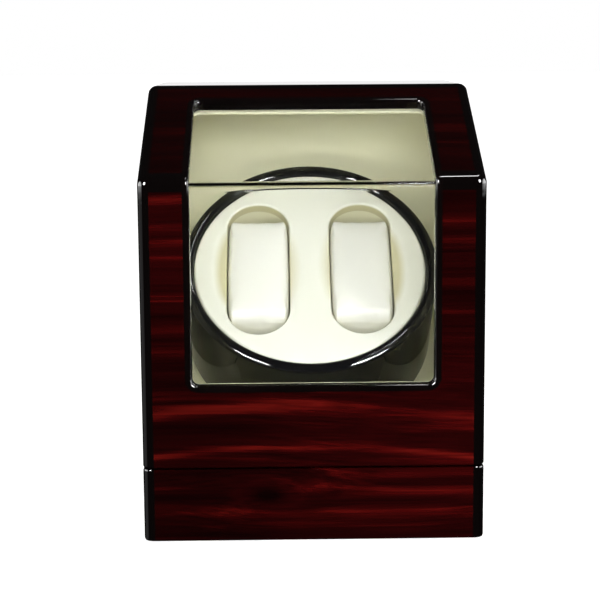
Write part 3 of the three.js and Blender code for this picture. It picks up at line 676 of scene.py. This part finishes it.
def make_lid():
    """The lid: veneered skin with rounded edges, the window's rounded lip and rebate, and the cavity."""
    top_place = lid_outline.pieces[3][1]
    rectangle = frame_points(0, top_place, FRAME_X)
    surfaces = []

    lip = [(LIP_RADIUS + a, LIP_RADIUS + b) for a, b in arc((0, 0), LIP_RADIUS, -90, -180, 6)]
    veneer_margin = LIP_RADIUS + LACQUER_BORDER
    loops = [
        [on_outline(lid_outline, u, x, 0) for u, x in rectangle],
        [on_outline(lid_outline, u, x, 0) for u, x in opening_points(veneer_margin)],
    ]
    surfaces.append((*bridge(loops), "veneer_lid"))
    rebate = [(0, REBATE_DEPTH), (REBATE_BORDER, REBATE_DEPTH), (REBATE_BORDER, LID_WALL)]
    rims = [(veneer_margin, 0), *lip, *rebate]
    loops = [
        [on_outline(lid_outline, u, x, depth) for u, x in opening_points(margin)]
        for margin, depth in rims
    ]
    surfaces.append((*bridge(loops), "lacquer"))

    inner_half = HALF - LID_WALL
    cavity_top = top_place - 2
    inner_rectangle = frame_points(LID_BOTTOM - LID_START, cavity_top, inner_half)
    loops = [
        [on_outline(lid_outline, u, x, LID_WALL) for u, x in opening_points(REBATE_BORDER)],
        [on_outline(lid_outline, u, x, LID_WALL) for u, x in inner_rectangle],
    ]
    surfaces.append((*bridge(loops), "lacquer"))

    front_places = sorted({u for u, x in rectangle if x == -FRAME_X})
    rest = [u for u in lid_outline.stations(BEND_STEPS) if u > top_place]
    places = front_places + rest
    columns = sorted({x for u, x in rectangle if u == 0})
    loops = [[on_outline(lid_outline, u, x, 0) for x in columns] for u in [top_place, *rest]]
    surfaces.append((*bridge(loops, closed=False), "veneer_lid"))

    edge_steps = 8
    for sign in (-1, 1):
        loops = []
        for k in range(edge_steps + 1):
            angle = math.pi / 2 * k / edge_steps
            x = sign * (FRAME_X + EDGE_RADIUS * math.sin(angle))
            inset = EDGE_RADIUS * (1 - math.cos(angle))
            loops.append([on_outline(lid_outline, u, x, inset) for u in places])
        surfaces.append((*bridge(loops, closed=False), "veneer_lid"))
        surfaces.append((loops[-1], [list(range(len(places)))], "veneer_lid"))

    inner_places = sorted({u for u, x in inner_rectangle if x == -inner_half})
    inner_end = lid_outline.length + LID_START - LID_BOTTOM
    inner_rest = [top_place, *rest[:-1], inner_end]
    inner_columns = sorted({x for u, x in inner_rectangle if abs(u - cavity_top) < 1e-9})
    loops = [
        [on_outline(lid_outline, u, x, LID_WALL) for x in inner_columns]
        for u in [cavity_top, *inner_rest]
    ]
    surfaces.append((*bridge(loops, closed=False), "lacquer"))
    for sign in (-1, 1):
        wall = [on_outline(lid_outline, u, sign * inner_half, LID_WALL) for u in inner_places + inner_rest]
        surfaces.append((wall, [list(range(len(wall)))], "lacquer"))

    loops = []
    seam_steps = 4
    for k in range(seam_steps + 1):
        angle = math.pi / 2 * k / seam_steps
        inset = SEAM_RADIUS * (1 - math.cos(angle))
        z = LID_BOTTOM + SEAM_RADIUS * (1 - math.sin(angle))
        loops.append(square_loop(columns, edge_steps, inset, z))
    surfaces.append((*bridge(loops), "veneer_lid"))
    rim = loops[-1]
    inner = [
        (max(-inner_half, min(inner_half, x)), math.copysign(inner_half, y), z)
        if abs(y) > FRAME_X - 1e-6 else (math.copysign(inner_half, x), y, z)
        for x, y, z in rim
    ]
    surfaces.append((*bridge([rim, inner]), "lacquer"))
    return make_piece("lid_case", "lid", surfaces, ["lid_shell"])


def square_loop(columns, steps, inset, z):
    """A horizontal loop round the case with rounded corners, moved inwards by the inset."""
    reach = EDGE_RADIUS - inset
    loop = [(x, FRONT + inset, z) for x in columns]
    for k in range(1, steps + 1):
        angle = math.pi / 2 * k / steps
        loop.append((FRAME_X + reach * math.sin(angle), -FRAME_X - reach * math.cos(angle), z))
    loop += [(-x, -y, z) for x, y, _ in list(loop)]
    left = []
    for k in range(1, steps):
        angle = math.pi / 2 * k / steps
        left.append((FRAME_X + reach * math.cos(angle), FRAME_X + reach * math.sin(angle), z))
    half = len(loop) // 2
    right_front = loop[:half]
    back_left = loop[half:]
    right_back = [(FRAME_X + reach, FRAME_X, z), *left]
    left_front = [(-x, -y, z) for x, y, _ in right_back]
    return right_front + right_back + back_left + left_front


def make_pane():
    """The clear window: one sheet bent along the case's front and slope, with eased edges."""
    corners = [(FRONT, LID_START), (FRONT, BEND_HEIGHT), (SLOPE_TOP_Y, TOP)]
    outline = Outline(corners, PANE_BEND)
    low = WINDOW_BOTTOM - PANE_BORDER - LID_START
    high = outline.at_slope(WINDOW_SLOPE_LENGTH + PANE_BORDER)
    half = WINDOW_HALF_WIDTH + PANE_BORDER
    inner = [u for u in outline.stations(PANE_BEND_STEPS) if low + 1 < u < high - 1]
    ease = 0.4

    def loop(inset, depth):
        sides = [low + inset, *inner, high - inset]
        left = [on_outline(outline, u, inset - half, depth) for u in sides]
        right = [on_outline(outline, u, half - inset, depth) for u in reversed(sides)]
        return left + right

    near = PANE_DEPTH
    far = PANE_DEPTH + PANE_THICKNESS
    rounding = arc((ease, near + ease), ease, 270, 180, 3) + arc((ease, far - ease), ease, 180, 90, 3)
    loops = [loop(inset, depth) for inset, depth in rounding]
    points, faces = bridge(loops)
    count = len(inner) + 2
    total = len(loops[0])
    last = total * (len(loops) - 1)
    for start in (0, last):
        for i in range(count - 1):
            faces.append([start + i, start + i + 1, start + total - 2 - i, start + total - 1 - i])
    return make_piece("window_acrylic", "lid", [(points, faces, "acrylic")], ["window_pane"], sharp=50)


# ---------- CAD nodes that stay ----------

def smoothing_group():
    """A modifier tree that shades faces smooth and keeps edges sharp past an angle."""
    group = bpy.data.node_groups.new("smooth_by_angle", "GeometryNodeTree")
    group.interface.new_socket("Geometry", in_out="INPUT", socket_type="NodeSocketGeometry")
    group.interface.new_socket("Geometry", in_out="OUTPUT", socket_type="NodeSocketGeometry")
    start = node(group, "NodeGroupInput").outputs[0]
    plain = node(
        group, "GeometryNodeRemoveAttribute", {"Geometry": start, "Name": "custom_normal"},
    ).outputs[0]
    smooth = node(
        group, "GeometryNodeSetShadeSmooth", {"Geometry": plain, "Shade Smooth": True}, domain="FACE",
    ).outputs[0]
    angle = node(group, "GeometryNodeInputMeshEdgeAngle").outputs[0]
    steep = node(
        group, "FunctionNodeCompare", {0: angle, 1: math.radians(35)}, operation="GREATER_THAN",
    ).outputs[0]
    sharp = node(
        group, "GeometryNodeSetShadeSmooth",
        {"Geometry": smooth, "Selection": steep, "Shade Smooth": False}, domain="EDGE",
    ).outputs[0]
    node(group, "NodeGroupOutput", {0: sharp})
    return group


SMOOTHING = smoothing_group()


def dress(name, finish, edge=0.3):
    """A CAD node's finish, with its facets joined and its sharp edges eased, in millimetres."""
    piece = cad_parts[name]
    piece.data.materials.clear()
    piece.data.materials.append(MATERIALS[finish])
    weld = piece.modifiers.new("weld", "WELD")
    weld.merge_threshold = 1e-5
    planar = piece.modifiers.new("planar", "DECIMATE")
    planar.decimate_type = "DISSOLVE"
    planar.angle_limit = math.radians(0.6)
    if edge:
        bevel = piece.modifiers.new("eased_edges", "BEVEL")
        bevel.width = edge * MM
        bevel.segments = 3
        bevel.limit_method = "ANGLE"
        bevel.angle_limit = math.radians(40)
    smooth = piece.modifiers.new("smooth", "NODES")
    smooth.node_group = SMOOTHING
    weighted = piece.modifiers.new("weighted_normals", "WEIGHTED_NORMAL")
    weighted.keep_sharp = True


# Finish and eased edge in millimetres of the CAD nodes that stay
CAD_FINISHES = {
    ("felt", 0.3): ["felt_pad"],
    ("veneer_base", 0): ["base_frame"],
    ("board", 0.3): ["base_bottom_board"],
    ("lining", 0.4): [
        "base_deck", "lining_front", "lining_back", "lining_top", "lining_left", "lining_right",
    ],
    ("steel", 0.2): ["base_magnet", "motor_bracket", "motor_shaft", "lid_magnet"],
    ("circuit", 0): ["control_board"],
    ("black", 0.3): ["selector_switch"],
    ("black", 0.35): ["selector_knob"],
    ("black", 0.2): ["dc_jack", "bearing_housing"],
    ("steel", 0.3): ["jack_nut", "drum_shaft", "hub_nut"],
    ("rubber", 0): ["motor_lead", "power_lead"],
    ("lining", 0.8): ["platform_board"],
    ("lining", 0.5): ["platform_cheek_left", "platform_cheek_right", "platform_back"],
    ("brass", 0.2): ["front_bush", "rear_bush"],
    ("steel", 0.4): ["motor_gearbox"],
    ("steel", 0.5): ["motor_can"],
    ("rubber", 0.2): ["drive_belt"],
    ("white", 0.2): ["motor_pulley", "drum_pulley"],
    ("steel", 0.1): ["shaft_clip"],
    ("white", 0.5): ["pillow_core_left", "pillow_core_right"],
}


def dress_nodes():
    for (finish, edge), names in CAD_FINISHES.items():
        for name in names:
            dress(name, finish, edge)
    for i in range(4):
        dress(f"base_screw_{i + 1}", "steel", 0.2)
    for i in range(2):
        dress(f"housing_screw_{i + 1}", "steel", 0.2)
        dress(f"bracket_screw_{i + 1}", "steel", 0.2)
    for side in ("left", "right"):
        dress(f"hinge_{side}_base_leaf", "brass", 0.25)
        dress(f"hinge_{side}_lid_leaf", "brass", 0.25)
        dress(f"hinge_{side}_pin", "steel", 0.2)


def make_hinge_screws():
    """Two cross-head screws in each hinge leaf."""
    loops = []
    for r in (0.02, 0.3, 0.6, 0.9, 1.2, 1.5, 1.8, 2.0, SCREW_RADIUS):
        loop = []
        for k in range(SCREW_STEPS):
            x = r * math.cos(2 * math.pi * k / SCREW_STEPS)
            y = r * math.sin(2 * math.pi * k / SCREW_STEPS)
            crossed = r < CROSS_REACH and min(abs(x), abs(y)) < CROSS_HALF
            crown = SCREW_DOME * (1 - (r / SCREW_RADIUS) ** 2) + SCREW_LIFT
            loop.append((x, y, crown - (CROSS_DEPTH if crossed else 0)))
        loops.append(loop)
    loops.append([(x, y, -SCREW_SUNK) for x, y, _ in loops[-1]])
    points, faces = bridge(loops)
    faces.append(list(range(SCREW_STEPS)))
    faces.append(list(range(len(points) - SCREW_STEPS, len(points))))
    for side in ("left", "right"):
        for leaf, body, sign in (("base", "base", -1), ("lid", "lid", 1)):
            low, _ = node_box(f"hinge_{side}_{leaf}_leaf")
            pin_low, pin_high = node_box(f"hinge_{side}_pin")
            middle = (pin_low + pin_high) / 2
            surfaces = []
            for x in (-SCREW_X, SCREW_X):
                place = Matrix.Translation((middle.x + x, low.y + LEAF_THICKNESS, middle.z + sign * SCREW_Z))
                place @= Matrix.Rotation(-math.pi / 2, 4, "X")
                surfaces.append(([tuple(place @ Vector(p)) for p in points], faces, "brass"))
            make_piece(f"hinge_{side}_{leaf}_screws", body, surfaces)


# ---------- turntable ----------

def make_bezel():
    """The glossy ring round the drum's mouth, with a rounded face."""
    inner = INSERT_RADIUS + 0.3
    middle = (inner + BEZEL_RADIUS) / 2
    half = (BEZEL_RADIUS - inner) / 2
    crown = []
    for k in range(25):
        angle = math.pi * k / 24
        crown.append((middle + half * math.cos(angle), -0.9 + 2.7 * math.sin(angle) ** 0.75))
    profile = [(inner, -INSERT_THICKNESS), (BEZEL_RADIUS, -INSERT_THICKNESS), *crown]
    return make_piece(
        "drum_ring", "turntable", [(*turned(profile, 192), "gloss")], ["drum_bezel"], TURNTABLE, 50,
    )


def make_drum():
    """The drum: a moulded cup with a rounded rear edge."""
    ledge = -INSERT_THICKNESS - 0.3
    rear = -DRUM_DEPTH
    corner = 3
    outer = arc((DRUM_RADIUS - corner, rear + corner), corner, 270, 360, 8)
    profile = [
        (4.3, rear), *outer, (DRUM_RADIUS, ledge - 0.4), (DRUM_RADIUS - 0.4, ledge), (61.5, ledge),
        (61.5, ledge - 3), (66.5, ledge - 8), (66.5, rear + 4), (9, rear + 4),
        (9, rear + HUB_HEIGHT), (4.3, rear + HUB_HEIGHT),
    ]
    return make_piece(
        "drum_cup", "turntable", [(*turned(profile, 160), "gloss")], ["drum_shell"], TURNTABLE, 30,
    )


def stadium(radius, x, steps=24):
    """A loop round a pocket; its half length grows with its radius."""
    reach = POCKET_LENGTH / 2 - POCKET_RADIUS
    upper = arc((x, reach), radius, 0, 180, steps)
    lower = arc((x, -reach), radius, 180, 360, steps)
    side = [(x - radius, reach - 2 * reach * k / 16) for k in range(1, 16)]
    back = [(x + radius, -reach + 2 * reach * k / 16) for k in range(1, 16)]
    return upper + side + lower + back


def make_insert():
    """The leather-covered disc: rolled edges, two pockets' mouths, and finger scallops beside each."""
    lip = 1.2
    rows = [0, 0.6, 1.2, 2, 3, 4, 5, 6, 7, 8]
    edge = 1.6
    flat_radius = INSERT_RADIUS - edge
    surfaces = []
    flat_loops = []
    for sign in (-1, 1):
        x = sign * POCKET_X
        loops = [[(p, q, -INSERT_THICKNESS - 0.25) for p, q in stadium(POCKET_RADIUS, x)]]
        for a, b in arc((lip, -lip), lip, 180, 90, 5):
            loops.append([(p, q, b - scallop(sign, p, q, 0)) for p, q in stadium(POCKET_RADIUS + a, x)])
        start = stadium(POCKET_RADIUS + lip, x)
        end = stadium(POCKET_RADIUS + lip + 1, x)
        for row in rows[1:]:
            loop = []
            for (p, q), (far_p, far_q) in zip(start, end):
                room = flat_radius - 0.6 - math.hypot(p, q)
                offset = row * min(1, room / rows[-1])
                here = (p + (far_p - p) * offset, q + (far_q - q) * offset)
                loop.append((*here, -scallop(sign, *here, row)))
            loops.append(loop)
        surfaces.append((*bridge(loops), "cream"))
        flat_loops.append(loops[-1])
    rim = []
    for a, b in arc((flat_radius, -edge), edge, 90, 0, 6) + [(INSERT_RADIUS, -INSERT_THICKNESS)]:
        ring = [(a * math.cos(t), a * math.sin(t), b) for t in np.linspace(0, 2 * math.pi, 161)[:-1]]
        rim.append(ring)
    surfaces.append((*bridge(rim), "cream"))
    flat_loops.append(rim[0])
    bm = bmesh.new()
    for loop in flat_loops:
        made = [bm.verts.new((p, q, 0)) for p, q, _ in loop]
        for i, vert in enumerate(made):
            bm.edges.new((vert, made[(i + 1) % len(made)]))
    bmesh.ops.triangle_fill(bm, use_beauty=True, use_dissolve=False, edges=bm.edges[:])
    bm.verts.index_update()
    flat = [tuple(v.co) for v in bm.verts]
    faces = [[v.index for v in f.verts] for f in bm.faces]
    bm.free()
    surfaces.append((flat, faces, "cream"))
    bottom = -INSERT_THICKNESS
    loops = [rim[-1], [(p * 0.995, q * 0.995, bottom) for p, q, _ in rim[-1]]]
    surfaces.append((*bridge(loops), "cream"))
    return make_piece("turntable_disc", "turntable", surfaces, ["insert_disc"], TURNTABLE, 60)


def scallop(sign, x, y, row):
    """Depth of the finger scallops beside a pocket, fading out from the pocket's edge."""
    outward = sign * (x - sign * POCKET_X)
    deepest = OUTER_SCALLOP if outward > 0 else INNER_SCALLOP
    along = max(0.0, 1 - (y / SCALLOP_HALF_LENGTH) ** 2)
    reach = max(0.01, SCALLOP_WIDTH * along ** 0.6)
    return deepest * along * max(0.0, 1 - row / reach) ** 1.3


def make_pocket(side, sign):
    """A pocket's leather-lined cup with a rounded floor."""
    x = sign * POCKET_X
    top = -INSERT_THICKNESS - 0.3
    corner = 5
    inside = [(0, top)] + [(a, b) for a, b in arc((-corner, corner - POCKET_DEPTH), corner, 0, -90, 8)]
    loops = [[(p, q, top) for p, q in stadium(POCKET_RADIUS + POCKET_WALL, x)]]
    loops += [[(p, q, b) for p, q in stadium(POCKET_RADIUS + a, x)] for a, b in inside]
    bottom = -POCKET_DEPTH - POCKET_WALL
    outside = [[(p, q, bottom) for p, q in stadium(POCKET_RADIUS + POCKET_WALL - 2, x)]]
    outside.append([(p, q, bottom + 2) for p, q in stadium(POCKET_RADIUS + POCKET_WALL, x)])
    outside.append(loops[0])
    surfaces = [
        (*bridge(loops), "pocket"),
        (loops[-1], [list(range(len(loops[-1])))], "pocket"),
        (*bridge(outside), "pocket"),
        (outside[0], [list(range(len(outside[0])))], "pocket"),
    ]
    return make_piece(f"pocket_lining_{side}", "turntable", surfaces, [f"pocket_{side}"], TURNTABLE, 60)


# ---------- pillows ----------

def pad_outline(inset):
    """The pillow's side outline in (y, z), moved inwards, with the same count of points for any inset."""
    radius = max(PILLOW_CORNER - inset, CORE_CORNER)
    y = PILLOW_LENGTH / 2 - inset - radius
    z = PILLOW_HEIGHT / 2 - inset - radius
    centres = [(y, z), (-y, z), (-y, -z), (y, -z)]
    points = []
    for k, centre in enumerate(centres):
        points += arc(centre, radius, 90 * k, 90 * k + 90, 12)
        start = Vector(points[-1])
        end = Vector(arc(centres[(k + 1) % 4], radius, 90 * k + 90, 90 * k + 90, 1)[0])
        count = 18 if k % 2 == 0 else 5
        points += [tuple(start.lerp(end, i / count)) for i in range(1, count)]
    return points


def pad_section():
    """Points (inset, x) round the padding's section: band, seam, side, and the face against the core."""
    half = PILLOW_WIDTH / 2 - 0.6
    edge = 1.3
    inner = PILLOW_PADDING
    right = [(0, x) for x in np.linspace(0, half - edge, 8)[1:]]
    right += [(edge - b, half - edge + a) for a, b in arc((0, 0), edge, 90, 0, 3)[1:]]
    right += [(a, half) for a in (2.8, 4.8, 7, 9.2, 11)]
    right += [(inner - 0.6, half - 0.4), (inner, half - 1.4), (inner, 9.5), (inner, 4.8)]
    left = [(a, -x) for a, x in reversed(right)]
    return [(0, 0), *right, (inner, 0), *left]


# The seam's column in the padding's section, and how far it is drawn in between its neighbours
SEAM_AT = 9
SEAM_PULL = 0.7
# How much wider the pillow is at its middle, as a share
PILLOW_BARREL = 0.11
# How much of the swelling is kept along X, Y and Z, and the most that it may be
SWELL_KEPT = (1.0, 0.4, 0.4)
SWELL_MOST = 2.2
# The half width up to which a pillow swells freely, and its gap to the pocket's wall
FREE_HALF_WIDTH = 15.4
WALL_GAP = 0.1


def pad_mesh(name):
    """The unfilled pad, with 100 mm as one unit, and its section."""
    section = pad_section()
    outlines = {inset: pad_outline(inset) for inset, _ in section}
    count = len(outlines[0])
    loops = [[(x, *outlines[inset][k]) for inset, x in section] for k in range(count)]
    points, faces = bridge([*loops, loops[0]])
    points = points[: len(section) * count]
    faces = [[i % len(points) for i in face] for face in faces]
    mesh = bpy.data.meshes.new(name)
    mesh.from_pydata([tuple(0.01 * value for value in point) for point in points], [], faces)
    bm = bmesh.new()
    bm.from_mesh(mesh)
    bmesh.ops.recalc_face_normals(bm, faces=bm.faces)
    bm.to_mesh(mesh)
    bm.free()
    return mesh, section


def stuffed(name):
    """The pad's points, in millimetres, after its cloth is blown up like foam filling."""
    mesh, section = pad_mesh(name)
    start = np.array([v.co for v in mesh.vertices]) * 100
    start[:, 0] *= 1 + PILLOW_BARREL * (1 - (2 * start[:, 1] / PILLOW_LENGTH) ** 2)
    mesh.vertices.foreach_set("co", start.reshape(-1) / 100)
    scene = bpy.context.scene
    dummy = bpy.data.objects.new(name, mesh)
    scene.collection.objects.link(dummy)
    pins = dummy.vertex_groups.new(name="pins")
    for i in range(len(mesh.vertices)):
        inset = section[i % len(section)][0]
        if inset >= PILLOW_PADDING - 2:
            pins.add([i], 1.0, "REPLACE")
    cloth = dummy.modifiers.new("cloth", "CLOTH").settings
    cloth.effector_weights.gravity = 0
    cloth.vertex_group_mass = "pins"
    cloth.quality = 6
    cloth.mass = 0.15
    cloth.tension_stiffness = 12
    cloth.compression_stiffness = 12
    cloth.shear_stiffness = 6
    cloth.bending_stiffness = 1.5
    cloth.use_pressure = True
    cloth.uniform_pressure_force = 4
    for step in range(1, 21):
        scene.frame_set(step)
    shaped = dummy.evaluated_get(bpy.context.evaluated_depsgraph_get())
    swollen = np.array([v.co for v in shaped.data.vertices]) * 100
    scene.frame_set(1)
    bpy.data.objects.remove(dummy)
    return mesh, section, start, swollen


def make_pillow(side, sign):
    """A watch pillow: a leather cuff with a band sewn between two side panels."""
    mesh, section, start, swollen = stuffed(f"pillow_{side}")
    move = (swollen - start) * SWELL_KEPT
    size = np.linalg.norm(move, axis=1, keepdims=True)
    move *= SWELL_MOST * np.tanh(size / SWELL_MOST) / np.maximum(size, 1e-6)
    points = start + move
    past = np.maximum(np.abs(points[:, 1]) - (POCKET_LENGTH / 2 - POCKET_RADIUS), 0)
    limit = np.sqrt(POCKET_RADIUS ** 2 - past ** 2) - WALL_GAP
    room = limit - FREE_HALF_WIDTH
    wide = np.abs(points[:, 0])
    over = np.maximum(wide - limit + room, 0)
    held = np.minimum(wide, limit - room) + room * np.tanh(over / room)
    points[:, 0] = np.sign(points[:, 0]) * held
    grid = points.reshape(-1, len(section), 3)
    for column in (SEAM_AT, len(section) - SEAM_AT):
        around = (grid[:, column - 1] + grid[:, (column + 1) % len(section)]) / 2
        inward = around - grid[:, column]
        grid[:, column] += inward * SEAM_PULL
    mesh.vertices.foreach_set("co", grid.reshape(-1))
    middle = PILLOW_PROUD - PILLOW_HEIGHT / 2
    place = TURNTABLE @ Matrix.Translation((sign * POCKET_X, 0, middle))
    mesh.transform(Matrix.Scale(MM, 4) @ place)
    mesh.materials.append(MATERIALS["pillow"])
    mesh.polygons.foreach_set("use_smooth", [True] * len(mesh.polygons))
    pillow = bpy.data.objects.new(f"pillow_{side}", mesh)
    bpy.context.scene.collection.objects.link(pillow)
    subdivision = pillow.modifiers.new("subdivision", "SUBSURF")
    subdivision.levels = subdivision.render_levels = 2
    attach(pillow, f"pillow_{side}")
    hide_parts(f"pillow_pad_{side}")


# ---------- camera, lights and surroundings ----------

def make_camera():
    """The camera of the view from the front, slightly above."""
    data = bpy.data.cameras.new("camera")
    data.lens = 98.6
    data.sensor_width = 36
    camera = bpy.data.objects.new("camera", data)
    turn, down, roll = 0.015, math.radians(8.976), -0.007
    forward = Vector((math.sin(turn) * math.cos(down), math.cos(turn) * math.cos(down), -math.sin(down)))
    right = Vector((math.cos(turn), -math.sin(turn), 0))
    up = right.cross(forward)
    right, up = right * math.cos(roll) + up * math.sin(roll), up * math.cos(roll) - right * math.sin(roll)
    rotation = Matrix((right, up, -forward)).transposed().to_4x4()
    camera.matrix_world = Matrix.Translation((-0.0193, -0.9292, 0.2616)) @ rotation
    bpy.context.scene.collection.objects.link(camera)
    bpy.context.scene.camera = camera


def make_light(name, place, target, size, power, glossy=True, diffuse=True):
    data = bpy.data.lights.new(name, "AREA")
    data.shape = "RECTANGLE"
    data.size, data.size_y = size
    data.energy = power
    light = bpy.data.objects.new(name, data)
    light.location = place
    light.rotation_euler = (Vector(target) - Vector(place)).to_track_quat("-Z", "Y").to_euler()
    light.visible_glossy = glossy
    light.visible_transmission = glossy
    light.visible_diffuse = diffuse
    bpy.context.scene.collection.objects.link(light)


def make_world():
    """A white backdrop, soft ambient light, and bright panels that only the gloss mirrors."""
    scene = bpy.context.scene
    scene.view_settings.view_transform = "Standard"
    scene.cycles.max_bounces = 16
    scene.cycles.transmission_bounces = 12
    scene.cycles.sample_clamp_indirect = 25.0
    world = bpy.data.worlds.new("studio")
    scene.world = world
    world.use_nodes = True
    tree = world.node_tree
    path = node(tree, "ShaderNodeLightPath").outputs
    ambient = tree.nodes["Background"]
    ambient.inputs["Color"].default_value = (1.0, 0.995, 0.98, 1)
    ambient.inputs["Strength"].default_value = 0.4
    way = node(tree, "ShaderNodeTexCoord").outputs["Generated"]
    across, back, height = node(tree, "ShaderNodeSeparateXYZ", {0: way}).outputs
    beside = step_between(tree, maths(tree, "ABSOLUTE", across), 0.86, 0.92)
    panel = maths(tree, "MULTIPLY", beside, step_between(tree, height, -0.095, -0.075))
    panel = maths(tree, "MULTIPLY", panel, step_between(tree, height, 0.6, 0.5))
    behind = maths(
        tree, "MULTIPLY", step_between(tree, back, 0.96, 0.98), step_between(tree, height, 0.3, 0.15),
    )
    behind = maths(tree, "MULTIPLY", behind, step_between(tree, height, -0.03, 0.0))
    left = step_between(tree, across, -0.86, -0.92)
    below = maths(tree, "MULTIPLY", left, step_between(tree, height, -0.075, -0.095))
    glow = maths(tree, "MAXIMUM", behind, maths(tree, "MULTIPLY", below, 0.35))
    glow = maths(tree, "MULTIPLY_ADD", panel, 9.0, glow)
    glow = maths(tree, "ADD", glow, 0.012)
    mirrored = node(tree, "ShaderNodeBackground", {"Color": (1, 1, 1, 1), "Strength": glow}).outputs[0]
    white = node(tree, "ShaderNodeBackground", {"Color": (1, 1, 1, 1), "Strength": 1.0}).outputs[0]
    shiny = maths(tree, "MAXIMUM", path["Is Glossy Ray"], path["Is Transmission Ray"])
    lit = node(tree, "ShaderNodeMixShader", {0: shiny, 1: ambient.outputs[0], 2: mirrored}).outputs[0]
    seen = node(tree, "ShaderNodeMixShader", {0: path["Is Camera Ray"], 1: lit, 2: white}).outputs[0]
    tree.links.new(seen, tree.nodes["World Output"].inputs["Surface"])


def make_floor():
    """A pale floor just under the felt."""
    reach = 12
    corners = [(x * reach, y * reach, 0) for x, y in ((-1, -1), (1, -1), (1, 1), (-1, 1))]
    mesh = bpy.data.meshes.new("floor")
    mesh.from_pydata(corners, [], [[0, 1, 2, 3]])
    floor = bpy.data.objects.new("floor", mesh)
    floor.location.z = -0.0002
    floor.visible_glossy = False
    floor.visible_transmission = False
    floor.visible_diffuse = False
    bpy.context.scene.collection.objects.link(floor)
    material, *_ = new_material(
        "floor_white", base_color=(0.9, 0.9, 0.9), roughness=0.9,
        emission_color=(1.0, 1.0, 1.0), emission_strength=0.75,
    )
    mesh.materials.append(material)


def make_lights():
    """Soft lights that don't show in the gloss, and glints that only show in it."""
    front = (0, 0, 0.15)
    make_light("front", (0.08, -1.7, 0.5), front, (0.6, 0.4), 15.2, glossy=False)
    make_light("low", (-0.2, -1.3, 0.06), (0, 0.05, 0.2), (0.7, 0.1), 4, glossy=False)
    make_light("right", (0.7, -0.95, 0.75), front, (0.12, 0.3), 4, glossy=False)
    make_light("overhead", (0, -0.25, 1.3), front, (1.2, 0.9), 3, glossy=False)
    for side, sign in (("left", -1), ("right", 1)):
        glint = (0.59 * sign, -1.03, 0.63)
        make_light(f"glint_{side}", glint, (0, -0.06, 0.1), (0.4, 0.5), 40, diffuse=False)
    make_light("glint_top", (0.25, -0.15, 1.2), front, (0.5, 0.06), 3, diffuse=False)


make_camera()
make_world()
make_floor()
make_lights()
dress_nodes()
make_hinge_screws()
make_lid()
make_pane()
make_bezel()
make_drum()
make_insert()
make_pocket("left", -1)
make_pocket("right", 1)
make_pillow("left", -1)
make_pillow("right", 1)
